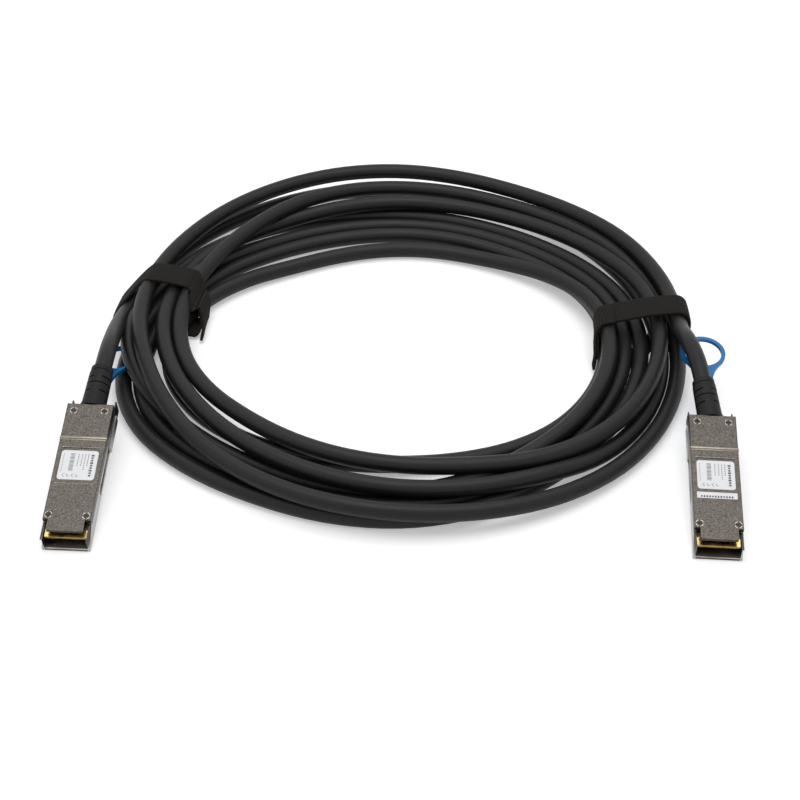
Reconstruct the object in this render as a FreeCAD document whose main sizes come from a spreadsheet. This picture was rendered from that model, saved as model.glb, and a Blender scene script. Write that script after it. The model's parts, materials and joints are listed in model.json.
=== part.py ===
"""Direct attach copper cable: two pluggable ends on one coiled round cable.

Frame: +X from the left plug to the right plug, +Y away from the noses of the plugs, +Z up.
The table is z = 0 and the origin is the middle of the two plugs' common box on the table.
Millimetres throughout.

Each plug is modelled in a frame of its own: x across, y back from the lip of the nose,
z up from its feet. It is then turned and tipped into place as it lies on the table.
"""
import FreeCAD, Part
import math
import os
import re
from FreeCAD import Placement, Rotation, Vector

SIZES = {
    # plug housing
    "plug_width": 18.35,
    "plug_height": 8.5,
    "plug_length": 62.0,
    "split_height": 5.2,
    "roof_sheet": 1.4,
    "floor_sheet": 1.3,
    "side_wall": 1.5,
    "edge_round": 0.35,
    "nose_root": 8.45,
    "tongue_front": 3.6,
    "tongue_width": 14.0,
    "nose_wall": 0.85,
    "nose_wall_rise": 6.4,
    "foot_width": 0.6,
    "foot_length": 5.0,
    "foot_height": 0.7,
    "rear_step_length": 15.4,
    "rear_drop": 2.5,
    "rear_block": 14.0,
    "tongue_root": 0.4,
    "cut_past": 1.0,
    # sprung collar around the housing
    "gasket_setback": 0.3,
    "gasket_width": 1.3,
    "gasket_sheet": 0.25,
    "gasket_sunk": 0.05,
    "gasket_play": 0.1,
    # label recess in the roof
    "label_back_gap": 4.0,
    "label_recess_length": 15.9,
    "label_recess_width": 15.2,
    "label_recess_depth": 0.25,
    "label_end_gap": 1.25,
    "label_side_gap": 0.4,
    "label_sheet": 0.12,
    "label_corner": 1.2,
    "strip_length": 2.8,
    "strip_gap": 0.3,
    "strip_sheet": 0.08,
    "strip_recess_depth": 0.1,
    "strip_edge_gap": 0.1,
    # screws that close the housing
    "front_screw_back": 10.4,
    "front_screw_inset": 1.01,
    "rear_screw_inset": 3.4,
    "rear_screw_side": 6.1,
    "screw_head_radius": 1.1,
    "screw_head_height": 0.6,
    "screw_shank_radius": 0.5,
    "screw_length": 5.6,
    "screw_gap": 0.08,
    "thread_gap": 0.02,
    "cross_length": 1.3,
    "cross_width": 0.3,
    "cross_depth": 0.35,
    "boss_radius": 1.4,
    # circuit card
    "card_side_gap": 0.115,
    "card_front": 2.7,
    "card_bevel": 0.4,
    "wire_room": 14.0,
    "card_thickness": 1.0,
    "card_gap": 0.06,
    "pad_pitch": 0.8,
    "pad_width": 0.52,
    "pad_length": 4.6,
    "pad_setback": 0.3,
    "pad_sheet": 0.05,
    "chip_size": 3.0,
    "chip_height": 0.9,
    "chip_back": 19.0,
    "chip_shift": 2.6,
    "part_length": 1.0,
    "part_width": 0.5,
    "part_height": 0.45,
    "part_setback": 1.6,
    # cable entry
    "axis_height": 4.0,
    "throat_radius": 3.5,
    "throat_gap": 0.04,
    "ferrule_inset": 1.0,
    "ferrule_length": 7.0,
    "ferrule_sheet": 0.6,
    "mould_width": 14.0,
    "mould_over_card": 4.0,
    "mould_tail": 2.5,
    "mould_gap": 0.15,
    "wire_radius": 0.5,
    "wire_spread": 12.6,
    "wire_ring": 1.9,
    "wire_card_gap": 0.2,
    "wire_in_ferrule": 2.0,
    # moulded strain relief
    "boot_neck_length": 4.0,
    "boot_collar": 1.6,
    "boot_collar_step": 0.3,
    "boot_length": 20.0,
    "boot_base_radius": 4.95,
    "boot_tip_radius": 4.6,
    "boot_lip_radius": 4.45,
    "boot_lip_length": 2.5,
    "boot_groove_back": 11.0,
    "boot_groove_width": 0.5,
    "boot_groove_depth": 0.55,
    "boot_bore_depth": 14.0,
    "slit_back": 7.0,
    "slit_pitch": 6.7,
    "slit_width": 0.6,
    "slit_depth": 1.1,
    "slit_angle": 52.0,
    "slit_length": 5.0,
    "slit_reach": 3.0,
    # latch slider, springs and pull tab
    "channel_low": 0.9,
    "channel_high": 4.0,
    "channel_front": 24.0,
    "channel_depth": 0.95,
    "arm_setback": 5.0,
    "arm_sheet": 0.5,
    "arm_gap": 0.05,
    "arm_edge_gap": 0.1,
    "arm_tip_length": 7.0,
    "arm_tip_narrow": 0.7,
    "yoke_gap": 0.3,
    "yoke_length": 3.9,
    "yoke_top": 2.4,
    "travel": 2.8,
    "lug_inset": 12.4,
    "lug_reach": 1.7,
    "lug_narrow": 0.5,
    "pocket_narrow": 0.4,
    "pocket_play": 0.3,
    "spring_play": 0.2,
    "spring_packed": 3.6,
    "spring_coil_radius": 0.7,
    "spring_wire_radius": 0.12,
    "spring_turns": 6.0,
    "root_width": 13.0,
    "root_cover": 0.5,
    "root_round": 1.2,
    "tab_sheet": 1.5,
    "tab_inset": 1.2,
    "tab_strap_width": 6.4,
    "tab_flare_start": 25.0,
    "tab_ring_back": 41.3,
    "tab_ring_radius": 9.2,
    "tab_hole_radius": 7.6,
    # cable, coil and ties
    "cable_radius": 3.5,
    "lead_start": 8.0,
    "layer_height": 7.2,
    "coil_height": 14.4,
    "crossing_height": 17.8,
    "tie_width": 13.0,
    "tie_sheet": 1.2,
    "tie_edge": 2.0,
}

# where each plug lies: the lip of its nose, its turn and tip, its boot's lean and its tab's bend
PLUGS = {
    "left": {"nose": (-125.71, -53.04), "turn": 3.34, "tip": 13.99, "boot_lean": -1.8,
             "tab_droop": 19.0, "tab_turn": 10.0},
    "right": {"nose": (117.99, -57.83), "turn": 4.24, "tip": 11.49, "boot_lean": 6.0,
              "tab_droop": 4.0, "tab_turn": 0.0},
}

# free stretches of cable, from the boot's tip to where they join the coil
LEFT_ROUTE = [(-120.2, 39.0, 23.6), (-120.4, 52.0, 19.4), (-121.4, 67.0, 12.9),
              (-121.6, 81.0, 7.5), (-120.2, 93.5, 4.4)]
RIGHT_ROUTE = [(120.9, 34.0, 22.7), (118.9, 46.5, 23.7), (118.4, 60.0, 20.9),
               (118.8, 68.5, 17.5), (119.2, 76.5, 13.6)]

# the wound coil: its middle, and its inner and outer radius every 30 degrees from +X
COIL_MIDDLE = (-0.45, 75.0)
LOWER_INNER = (86, 75, 63, 61, 62, 76, 86, 89, 88, 79, 84, 87)
LOWER_OUTER = (122, 116, 113, 120, 122, 122, 121, 124, 124, 120, 125, 125)
UPPER_INNER = (84, 97, 92, 90, 92, 92, 91, 84, 83, 88, 94, 90)
UPPER_OUTER = (121, 118, 115, 121, 120, 118, 105, 105, 118, 122, 110, 115)
CROSSING = ((97, 40), (112, 60), (119, 90), (118, 120), (112, 140), (93, 140), (92, 110), (94, 70))
LEFT_TIE_ANGLE = 165.0
RIGHT_TIE_ANGLE = 5.0

doc = FreeCAD.newDocument("copper_cable")
sheet = doc.addObject("Spreadsheet::Sheet", "Sizes")
for row, (alias, value) in enumerate(SIZES.items(), start=1):
    sheet.set(f"A{row}", alias)
    sheet.set(f"B{row}", str(value))
    sheet.setAlias(f"B{row}", alias)
gauge = doc.addObject("App::FeaturePython", "Gauge")
gauge.addProperty("App::PropertyFloat", "Reading")
doc.recompute()

nodes = {}


def size(alias):
    """The value of a cell of the sheet."""
    return float(sheet.get(alias))


def tied(formula):
    """A formula with the sheet's name in front of each alias."""
    return re.sub(r"[a-z_]{3,}", lambda m: "Sizes." + m.group() if m.group() in SIZES else m.group(),
                  str(formula))


def bind(obj, prop, formula):
    """Tie a property to a formula written with the sheet's aliases."""
    obj.setExpression(prop, tied(formula))


def worth(formula):
    """The number that a formula gives now."""
    bind(gauge, "Reading", formula)
    gauge.recompute()
    return gauge.Reading


def box(name, x, y, z):
    """A box between a low and a high formula along each axis."""
    block = doc.addObject("Part::Box", name)
    for (low, high), prop, axis in zip((x, y, z), ("Length", "Width", "Height"), "xyz"):
        bind(block, prop, f"({high}) - ({low})")
        bind(block, f"Placement.Base.{axis}", low)
    return block


def rod(name, radius, start, length, along="z"):
    """A cylinder from a start point, along z or along y."""
    bar = doc.addObject("Part::Cylinder", name)
    if along == "y":
        bar.Placement = Placement(Vector(), Rotation(Vector(1, 0, 0), -90))
    bind(bar, "Radius", radius)
    bind(bar, "Height", length)
    for formula, axis in zip(start, "xyz"):
        bind(bar, f"Placement.Base.{axis}", formula)
    return bar


def fuse(name, pieces):
    """The union of several pieces."""
    union = doc.addObject("Part::MultiFuse", name)
    union.Shapes = pieces
    union.Refine = True
    return union


def group(name, pieces):
    """Several separate solids kept as one object."""
    bundle = doc.addObject("Part::Compound", name)
    bundle.Links = pieces
    return bundle


def cut(name, base, tools):
    """A base with the tools taken away."""
    result = doc.addObject("Part::Cut", name)
    result.Base = base
    result.Tool = tools[0] if len(tools) == 1 else group(name + "_tools", tools)
    return result


def common(name, base, tool):
    """What two pieces share."""
    result = doc.addObject("Part::Common", name)
    result.Base = base
    result.Tool = tool
    return result


def rounded(name, base, radius, picks):
    """Round the edges of a base whose middle points pass a test."""
    doc.recompute()
    feature = doc.addObject("Part::Fillet", name)
    feature.Base = base
    feature.Edges = [(index, size(radius), size(radius))
                     for index, edge in enumerate(base.Shape.Edges, start=1)
                     if picks(edge.valueAt((edge.FirstParameter + edge.LastParameter) / 2), edge)]
    return feature


def plane(body, role):
    """One of a body's own origin planes."""
    return next(f for f in body.Origin.OriginFeatures if f.Role == role)


def sketch_on(body, name, role="XY_Plane"):
    """A new sketch on one of the body's origin planes."""
    drawing = body.newObject("Sketcher::SketchObject", name)
    drawing.AttachmentSupport = [(plane(body, role), "")]
    drawing.MapMode = "FlatFace"
    return drawing


def outline(drawing, points):
    """A closed run of straight lines."""
    corners = [Vector(x, y, 0) for x, y in points]
    for start, end in zip(corners, corners[1:] + corners[:1]):
        drawing.addGeometry(Part.LineSegment(start, end), False)


def both_sides(make):
    """The same piece made on the plug's left (-1) and right (+1) side."""
    return [make(sign, word) for sign, word in ((-1, "a"), (1, "b"))]


def span(sign, inner, outer):
    """A range across the plug, mirrored to one side."""
    return (f"-({outer})", f"-({inner})") if sign < 0 else (inner, outer)


def node(name, obj, pose):
    """Place a finished piece in the cable's frame under its own name."""
    placed = group(name, [obj])
    placed.Label = name
    placed.Placement = pose
    nodes[name] = placed


def plug_pose(side):
    """The placement of one plug on the table."""
    plug = PLUGS[side]
    turn = Rotation(Vector(0, 0, 1), -plug["turn"])
    tip = Rotation(Vector(1, 0, 0), plug["tip"])
    return Placement(Vector(plug["nose"][0], plug["nose"][1], 0), turn.multiply(tip))


def boot_pose(side):
    """The boot's placement in its plug's frame: at the rear face, leaning to one side."""
    lean = Rotation(Vector(0, 0, 1), PLUGS[side]["boot_lean"])
    return Placement(Vector(0, size("plug_length"), size("axis_height")), lean)


HALF = "(plug_width / 2)"
CARD_HALF = f"({HALF} - nose_wall - card_side_gap)"
CARD_LOW = "(split_height - card_thickness)"
REAR_STEP = "(plug_length - rear_step_length)"
CAVITY_END = "(plug_length - rear_block)"
CARD_REAR = f"({CAVITY_END} - wire_room)"
GASKET_FRONT = f"({REAR_STEP} - gasket_setback - gasket_width)"
LABEL_FRONT = f"({GASKET_FRONT} - label_back_gap - label_recess_length)"
FRONT_SCREW_SIDE = f"({CARD_HALF} - front_screw_inset)"
REAR_SCREW_BACK = "(plug_length - rear_screw_inset)"
FERRULE_FRONT = f"({CAVITY_END} + ferrule_inset)"
CHANNEL_FLOOR = f"({HALF} - channel_depth)"
ARM_FRONT = "(channel_front + arm_setback)"
ARM_INNER = f"({CHANNEL_FLOOR} + arm_gap)"
ARM_OUTER = f"({CHANNEL_FLOOR} + arm_gap + arm_sheet)"
LUG_FRONT = "(plug_length - lug_inset)"
LUG_BACK = f"({LUG_FRONT} + arm_sheet)"
YOKE_FRONT = "(plug_length + yoke_gap + root_cover)"
SPRING_X = f"({CHANNEL_FLOOR} - spring_coil_radius - spring_play)"
SPRING_Z = "((channel_low + channel_high) / 2)"
SPRING_LENGTH = "(spring_packed + travel)"


NEAR = 0.01


def screw_places():
    """Across-and-back formulas of the four screws."""
    return [(sign + side, back) for side, back in ((FRONT_SCREW_SIDE, "front_screw_back"),
                                                   ("rear_screw_side", REAR_SCREW_BACK))
            for sign in ("-", "")]


def throat(p):
    """The bore for the cable at the rear of both shells."""
    return rod(p + "throat", "throat_radius", ("0", f"{CAVITY_END} - cut_past", "axis_height"),
               "rear_block + 2 * cut_past", along="y")


def collar_groove(p):
    """The ring cut around the housing for the sprung collar."""
    depth = "(gasket_sheet + gasket_sunk)"
    back = (f"{GASKET_FRONT} - gasket_play", f"{GASKET_FRONT} + gasket_width + gasket_play")
    outer = box(p + "groove_outer", (f"-{HALF} - cut_past", f"{HALF} + cut_past"), back,
                ("-cut_past", "plug_height + cut_past"))
    core = box(p + "groove_core", (f"-{HALF} + {depth}", f"{HALF} - {depth}"),
               (f"{GASKET_FRONT} - cut_past", f"{GASKET_FRONT} + gasket_width + cut_past"),
               (depth, f"plug_height - {depth}"))
    return cut(p + "collar_groove", outer, [core])


def lower_shell(p):
    """Floor, side walls, nose and the thick rear block."""
    body = box(p + "ls_body", (f"-{HALF}", HALF), ("nose_root", "plug_length"), ("0", "split_height"))
    rear = box(p + "ls_rear", (f"-{HALF}", HALF), (REAR_STEP, "plug_length"), ("-rear_drop", "floor_sheet"))
    nose = box(p + "ls_nose", (f"-{HALF}", HALF), ("0", "nose_root + cut_past"), ("0", "floor_sheet"))

    def nose_wall(sign, word):
        wall = doc.addObject("Part::Wedge", p + "ls_nose_wall_" + word)
        low, high = span(sign, f"{HALF} - nose_wall", HALF)
        for prop, formula in (("Xmin", low), ("X2min", low), ("Xmax", high), ("X2max", high),
                              ("Ymin", "0"), ("Ymax", "nose_root"), ("Zmin", "0"), ("Z2min", "0"),
                              ("Zmax", "floor_sheet"), ("Z2max", "nose_wall_rise")):
            bind(wall, prop, formula)
        return wall

    cavity = box(p + "ls_cavity", (f"-{HALF} + side_wall", f"{HALF} - side_wall"),
                 ("nose_root - cut_past", CAVITY_END), ("floor_sheet", "split_height + cut_past"))
    ledge = box(p + "ls_ledge", (f"-{CARD_HALF} - card_gap", f"{CARD_HALF} + card_gap"),
                ("nose_root - cut_past", f"{CARD_REAR} + card_gap"), (CARD_LOW, "split_height + cut_past"))
    relief = box(p + "ls_relief", (f"-{HALF} + foot_width", f"{HALF} - foot_width"),
                 ("-cut_past", "foot_length"), ("-cut_past", "foot_height"))
    channels = both_sides(lambda sign, word: box(
        p + "ls_channel_" + word, span(sign, CHANNEL_FLOOR, f"{HALF} + cut_past"),
        ("channel_front", "plug_length + cut_past"), ("channel_low", "channel_high")))
    pockets = both_sides(lambda sign, word: box(
        p + "ls_pocket_" + word,
        span(sign, f"{CHANNEL_FLOOR} - lug_reach - spring_play", f"{CHANNEL_FLOOR} + channel_depth / 2"),
        (f"{LUG_FRONT} - pocket_play", f"{LUG_BACK} + {SPRING_LENGTH}"),
        ("channel_low + pocket_narrow", "channel_high - pocket_narrow")))
    bosses = both_sides(lambda sign, word: rod(
        p + "ls_boss_" + word, "boss_radius",
        (f"{sign} * {FRONT_SCREW_SIDE}", "front_screw_back", "floor_sheet / 2"), f"{CARD_LOW} - floor_sheet / 2"))
    threads = [rod(f"{p}ls_thread_{i}", "screw_shank_radius + thread_gap",
                   (x, y, "plug_height - screw_head_height - screw_length"), "screw_length")
               for i, (x, y) in enumerate(screw_places())]
    hollow = cut(p + "ls_hollow", fuse(p + "ls_solid", [body, rear, nose]), [cavity, ledge])
    walled = fuse(p + "ls_walled", [hollow] + both_sides(nose_wall) + bosses)
    return cut(p + "ls_cut", walled, [relief, throat(p + "ls_"), collar_groove(p + "ls_")]
               + channels + pockets + threads)


def upper_shell(p):
    """Roof, side walls and the tongue over the card's contacts."""
    body = box(p + "us_body", (f"-{HALF}", HALF), ("nose_root", "plug_length"), ("split_height", "plug_height"))
    soft = rounded(p + "us_round", body, "edge_round",
                   lambda mid, edge: mid.z > size("plug_height") - NEAR)
    cavity = box(p + "us_cavity", (f"-{HALF} + side_wall", f"{HALF} - side_wall"),
                 ("nose_root - cut_past", CAVITY_END), ("split_height - cut_past", "plug_height - roof_sheet"))
    tongue = box(p + "us_tongue", ("-tongue_width / 2", "tongue_width / 2"),
                 ("tongue_front", "nose_root + edge_round + tongue_root"),
                 ("plug_height - roof_sheet", "plug_height"))
    soft_tongue = rounded(p + "us_tongue_round", tongue, "edge_round",
                          lambda mid, edge: mid.y < size("tongue_front") + NEAR
                          and abs(mid.x) > size("tongue_width") / 2 - NEAR)
    bosses = both_sides(lambda sign, word: rod(
        p + "us_boss_" + word, "boss_radius",
        (f"{sign} * {FRONT_SCREW_SIDE}", "front_screw_back", "split_height"),
        "plug_height - split_height - roof_sheet / 2"))
    recess = box(p + "us_recess", ("-label_recess_width / 2", "label_recess_width / 2"),
                 (LABEL_FRONT, f"{LABEL_FRONT} + label_recess_length"),
                 ("plug_height - label_recess_depth", "plug_height + cut_past"))
    strip_bed = box(p + "us_strip_bed",
                    ("-label_recess_width / 2 - strip_edge_gap", "label_recess_width / 2 + strip_edge_gap"),
                    (f"{LABEL_FRONT} - strip_gap - strip_length - strip_edge_gap",
                     f"{LABEL_FRONT} - strip_gap + strip_edge_gap"),
                    ("plug_height - strip_recess_depth", "plug_height + cut_past"))
    heads = [rod(f"{p}us_head_{i}", "screw_head_radius + screw_gap",
                 (x, y, "plug_height - screw_head_height"), "screw_head_height + cut_past")
             for i, (x, y) in enumerate(screw_places())]
    holes = [rod(f"{p}us_hole_{i}", "screw_shank_radius + screw_gap",
                 (x, y, "split_height - cut_past"), "plug_height - split_height + cut_past")
             for i, (x, y) in enumerate(screw_places())]
    hollow = cut(p + "us_hollow", soft, [cavity])
    full = fuse(p + "us_full", [hollow, soft_tongue] + bosses)
    return cut(p + "us_cut", full, [recess, strip_bed, throat(p + "us_"), collar_groove(p + "us_")]
               + heads + holes)


def emi_gasket(p):
    """The thin sprung collar that sits in the groove around both shells."""
    back = (GASKET_FRONT, f"{GASKET_FRONT} + gasket_width")
    outer = box(p + "eg_outer", (f"-{HALF} + gasket_sunk", f"{HALF} - gasket_sunk"), back,
                ("gasket_sunk", "plug_height - gasket_sunk"))
    inset = "gasket_sunk + gasket_sheet"
    inner = box(p + "eg_inner", (f"-{HALF} + {inset}", f"{HALF} - ({inset})"),
                (f"{GASKET_FRONT} - cut_past", f"{GASKET_FRONT} + gasket_width + cut_past"),
                (inset, f"plug_height - ({inset})"))
    return cut(p + "eg_band", outer, [inner])


def cover_screws(p):
    """Four cross-head screws, flush with the roof."""
    screws = []
    for i, (x, y) in enumerate(screw_places()):
        head = rod(f"{p}sc_head_{i}", "screw_head_radius", (x, y, "plug_height - screw_head_height"),
                   "screw_head_height")
        shank = rod(f"{p}sc_shank_{i}", "screw_shank_radius",
                    (x, y, "plug_height - screw_head_height - screw_length"), "screw_length + screw_head_height / 2")
        deep = ("plug_height - cross_depth", "plug_height + cut_past")
        long_x, wide_x = [(f"{x} - {w} / 2", f"{x} + {w} / 2") for w in ("cross_length", "cross_width")]
        long_y, wide_y = [(f"{y} - {w} / 2", f"{y} + {w} / 2") for w in ("cross_length", "cross_width")]
        slots = [box(f"{p}sc_slot_{i}a", long_x, wide_y, deep), box(f"{p}sc_slot_{i}b", wide_x, long_y, deep)]
        screws.append(cut(f"{p}sc_screw_{i}", fuse(f"{p}sc_blank_{i}", [head, shank]), slots))
    return group(p + "sc_all", screws)


def paddle_card(p):
    """The circuit card, drilled for the front screws."""
    body = doc.addObject("PartDesign::Body", p + "card_body")
    drawing = sketch_on(body, p + "card_outline")
    half, front, rear, bevel = worth(CARD_HALF), size("card_front"), worth(CARD_REAR), size("card_bevel")
    outline(drawing, [(-half + bevel, front), (half - bevel, front), (half, front + bevel), (half, rear),
                      (-half, rear), (-half, front + bevel)])
    for sign in (-1, 1):
        hole = Part.Circle(Vector(sign * worth(FRONT_SCREW_SIDE), size("front_screw_back"), 0),
                           Vector(0, 0, 1), size("screw_shank_radius") + size("screw_gap"))
        drawing.addGeometry(hole, False)
    pad = body.newObject("PartDesign::Pad", p + "card_pad")
    pad.Profile = drawing
    bind(pad, "Length", "card_thickness")
    bind(body, "Placement.Base.z", CARD_LOW)
    return body


def contact_pads(p):
    """Two rows of gold contacts at the card's front edge."""
    count = int((worth(CARD_HALF) - size("pad_width")) / size("pad_pitch"))
    pads = []
    for k in range(-count, count + 1):
        x = (f"{k} * pad_pitch - pad_width / 2", f"{k} * pad_pitch + pad_width / 2")
        y = ("card_front + pad_setback", "card_front + pad_setback + pad_length")
        pads.append(box(f"{p}pad_top_{k + count}", x, y, ("split_height", "split_height + pad_sheet")))
        pads.append(box(f"{p}pad_low_{k + count}", x, y, (f"{CARD_LOW} - pad_sheet", CARD_LOW)))
    return group(p + "pads_all", pads)


def id_chip(p):
    """The memory chip that names the cable to its host."""
    half = "chip_size / 2"
    return box(p + "chip", (f"chip_shift - {half}", f"chip_shift + {half}"),
               (f"chip_back - {half}", f"chip_back + {half}"), ("split_height", "split_height + chip_height"))


def card_parts(p):
    """Small passive components on the card's top."""
    corner = f"({CARD_HALF} - part_width)"
    places = [(f"-{corner}", "nose_root - part_setback"), (corner, "nose_root - part_setback"),
              ("-chip_shift", "chip_back - chip_size / 2"), ("-chip_shift", "chip_back"),
              ("-chip_shift", "chip_back + chip_size / 2"), ("-2 * chip_shift", "chip_back")]
    return group(p + "parts_all", [
        box(f"{p}part_{i}", (f"{x} - part_width / 2", f"{x} + part_width / 2"),
            (f"{y} - part_length / 2", f"{y} + part_length / 2"), ("split_height", "split_height + part_height"))
        for i, (x, y) in enumerate(places)])


def wire_overmould(p, card):
    """The block that holds the soldered wire ends on the card."""
    block = box(p + "mould_block", ("-mould_width / 2", "mould_width / 2"),
                (f"{CARD_REAR} - mould_over_card", f"{CARD_REAR} + mould_tail"),
                ("floor_sheet + mould_gap", "plug_height - roof_sheet - mould_gap"))
    return cut(p + "mould_cut", block, [card])


def twinax_wires(p):
    """Eight pairs from the card's rear edge into the ferrule, four above and four below the card."""
    front, back = worth(f"{CARD_REAR} + mould_tail"), worth(f"{FERRULE_FRONT} + wire_in_ferrule")
    middle = worth("split_height - card_thickness / 2")
    off_middle = worth("card_thickness / 2 + wire_radius + wire_card_gap")
    wires = []
    for i in range(8):
        row, place = (1, i) if i < 4 else (-1, 7 - i)
        start = Vector((place - 1.5) / 3 * size("wire_spread") / 2, front, middle + row * off_middle)
        angle = math.radians(157.5 - 45 * place) * row
        end = Vector(size("wire_ring") * math.cos(angle), back,
                     size("axis_height") + size("wire_ring") * math.sin(angle))
        wire = doc.addObject("Part::Cylinder", f"{p}wire_{i}")
        aim = (end - start).normalize()
        wire.Placement = Placement(start - aim, Rotation(Vector(0, 0, 1), aim))
        bind(wire, "Radius", "wire_radius")
        wire.Height = (end - start).Length + 2 * size("cut_past")
        wires.append(wire)
    window = box(p + "wire_window", ("-plug_width", "plug_width"),
                 (f"{CARD_REAR} + mould_tail", f"{FERRULE_FRONT} + wire_in_ferrule"),
                 ("-plug_height", "2 * plug_height"))
    return group(p + "wires_all", [common(f"{p}wire_end_{i}", wire, window) for i, wire in enumerate(wires)])


def shield_ferrule(p):
    """The crimped ring that grips the cable's braid inside the throat."""
    outer = rod(p + "ferrule_outer", "throat_radius - throat_gap", ("0", FERRULE_FRONT, "axis_height"),
                "ferrule_length", along="y")
    inner = rod(p + "ferrule_inner", "throat_radius - throat_gap - ferrule_sheet",
                ("0", f"{FERRULE_FRONT} - cut_past", "axis_height"), "ferrule_length + 2 * cut_past", along="y")
    return cut(p + "ferrule_tube", outer, [inner])


def strain_relief(p, side):
    """The moulded boot: a neck in the throat, a ringed taper behind it and side slits."""
    neck = rod(p + "boot_neck", "throat_radius - throat_gap",
               ("0", "plug_length - boot_neck_length", "axis_height"), "boot_neck_length + boot_collar / 2",
               along="y")
    collar = rod(p + "boot_collar_ring", "boot_base_radius + boot_collar_step", ("0", "plug_length", "axis_height"),
                 "boot_collar", along="y")
    body = doc.addObject("PartDesign::Body", p + "boot_body")
    drawing = sketch_on(body, p + "boot_profile")
    base, tip, length = size("boot_base_radius"), size("boot_tip_radius"), size("boot_length")
    start, lip = size("boot_collar") / 2, length - size("boot_lip_length")
    width, depth = size("boot_groove_width"), size("boot_groove_depth")
    groove, slope = size("boot_groove_back"), (base - tip) / length
    taper = [(base - slope * y, y) for y in (groove - width / 2, groove + width / 2)]
    outline(drawing, [(0, start), (base - slope * start, start), taper[0],
                      (taper[0][0] - depth, taper[0][1]), (taper[1][0] - depth, taper[1][1]), taper[1],
                      (base - slope * lip, lip), (tip - depth, lip), (tip - depth, lip + width),
                      (size("boot_lip_radius"), lip + width), (size("boot_lip_radius"), length), (0, length)])
    turned = body.newObject("PartDesign::Revolution", p + "boot_turned")
    turned.Profile = drawing
    turned.ReferenceAxis = (drawing, ["V_Axis"])
    turned.Angle = 360
    slits = []
    for k in range(2):
        back = size("slit_back") + k * size("slit_pitch")
        for sign in (-1, 1):
            slit = doc.addObject("Part::Box", f"{p}slit_{k}{'a' if sign < 0 else 'b'}")
            bind(slit, "Length", "slit_length")
            bind(slit, "Width", "slit_width")
            bind(slit, "Height", "slit_reach")
            turn = Rotation(Vector(0, 1, 0), sign * size("slit_angle"))
            level = base - size("slit_depth")
            slit.Placement = Placement(turn.multVec(Vector(-size("slit_length") / 2, 0, level))
                                       + Vector(0, back, 0), turn)
            slits.append(slit)
    bore = rod(p + "boot_bore", "cable_radius + throat_gap", ("0", "boot_length - boot_bore_depth", "0"),
               "boot_bore_depth + cut_past", along="y")
    leaning = group(p + "boot_leaning", [cut(p + "boot_cut", body, slits + [bore])])
    leaning.Placement = boot_pose(side)
    return fuse(p + "boot_all", [neck, collar, leaning])


def latch_slider(p):
    """The stamped U: an arm along each side, joined by a yoke behind the housing."""
    arm_z = ("channel_low + arm_edge_gap", "channel_high - arm_edge_gap")
    pieces = both_sides(lambda sign, word: box(
        p + "arm_" + word, span(sign, ARM_INNER, ARM_OUTER),
        (f"{ARM_FRONT} + arm_tip_length", f"{YOKE_FRONT} + yoke_length"), arm_z))
    pieces += both_sides(lambda sign, word: box(
        p + "arm_tip_" + word, span(sign, ARM_INNER, ARM_OUTER), (ARM_FRONT, f"{ARM_FRONT} + arm_tip_length"),
        ("channel_low + arm_edge_gap + arm_tip_narrow", "channel_high - arm_edge_gap - arm_tip_narrow")))
    pieces += both_sides(lambda sign, word: box(
        p + "lug_" + word, span(sign, f"{CHANNEL_FLOOR} - lug_reach", ARM_OUTER),
        (LUG_FRONT, LUG_BACK), ("channel_low + lug_narrow", "channel_high - lug_narrow")))
    pieces += both_sides(lambda sign, word: box(
        p + "yoke_side_" + word, span(sign, ARM_INNER, ARM_OUTER), (YOKE_FRONT, f"{YOKE_FRONT} + yoke_length"),
        ("-yoke_top", "channel_high - arm_edge_gap")))
    pieces.append(box(p + "yoke_bar", (f"-{ARM_OUTER}", ARM_OUTER), (YOKE_FRONT, f"{YOKE_FRONT} + yoke_length"),
                      ("-yoke_top", "-yoke_top + arm_sheet")))
    return fuse(p + "slider_all", pieces)


def return_springs(p):
    """A small coil spring behind each lug."""
    springs = []
    for sign, word in ((-1, "a"), (1, "b")):
        helix = doc.addObject("Part::Helix", p + "helix_" + word)
        bind(helix, "Pitch", f"({SPRING_LENGTH} - 2 * spring_wire_radius) / spring_turns")
        bind(helix, "Height", f"{SPRING_LENGTH} - 2 * spring_wire_radius")
        bind(helix, "Radius", "spring_coil_radius")
        wire = doc.addObject("Part::Circle", p + "spring_wire_" + word)
        bind(wire, "Radius", "spring_wire_radius")
        wire.Placement = Placement(Vector(size("spring_coil_radius"), 0, 0), Rotation(Vector(1, 0, 0), 90))
        coil = doc.addObject("Part::Sweep", p + "spring_" + word)
        coil.Sections = [wire]
        coil.Spine = (helix, ["Edge1"])
        coil.Solid = True
        coil.Frenet = True
        place = group(p + "spring_place_" + word, [coil])
        place.Placement = Placement(Vector(), Rotation(Vector(1, 0, 0), -90))
        bind(place, "Placement.Base.x", f"{sign} * {SPRING_X}")
        bind(place, "Placement.Base.y", f"{LUG_BACK} + spring_wire_radius")
        bind(place, "Placement.Base.z", SPRING_Z)
        springs.append(place)
    return group(p + "springs_all", springs)


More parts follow.
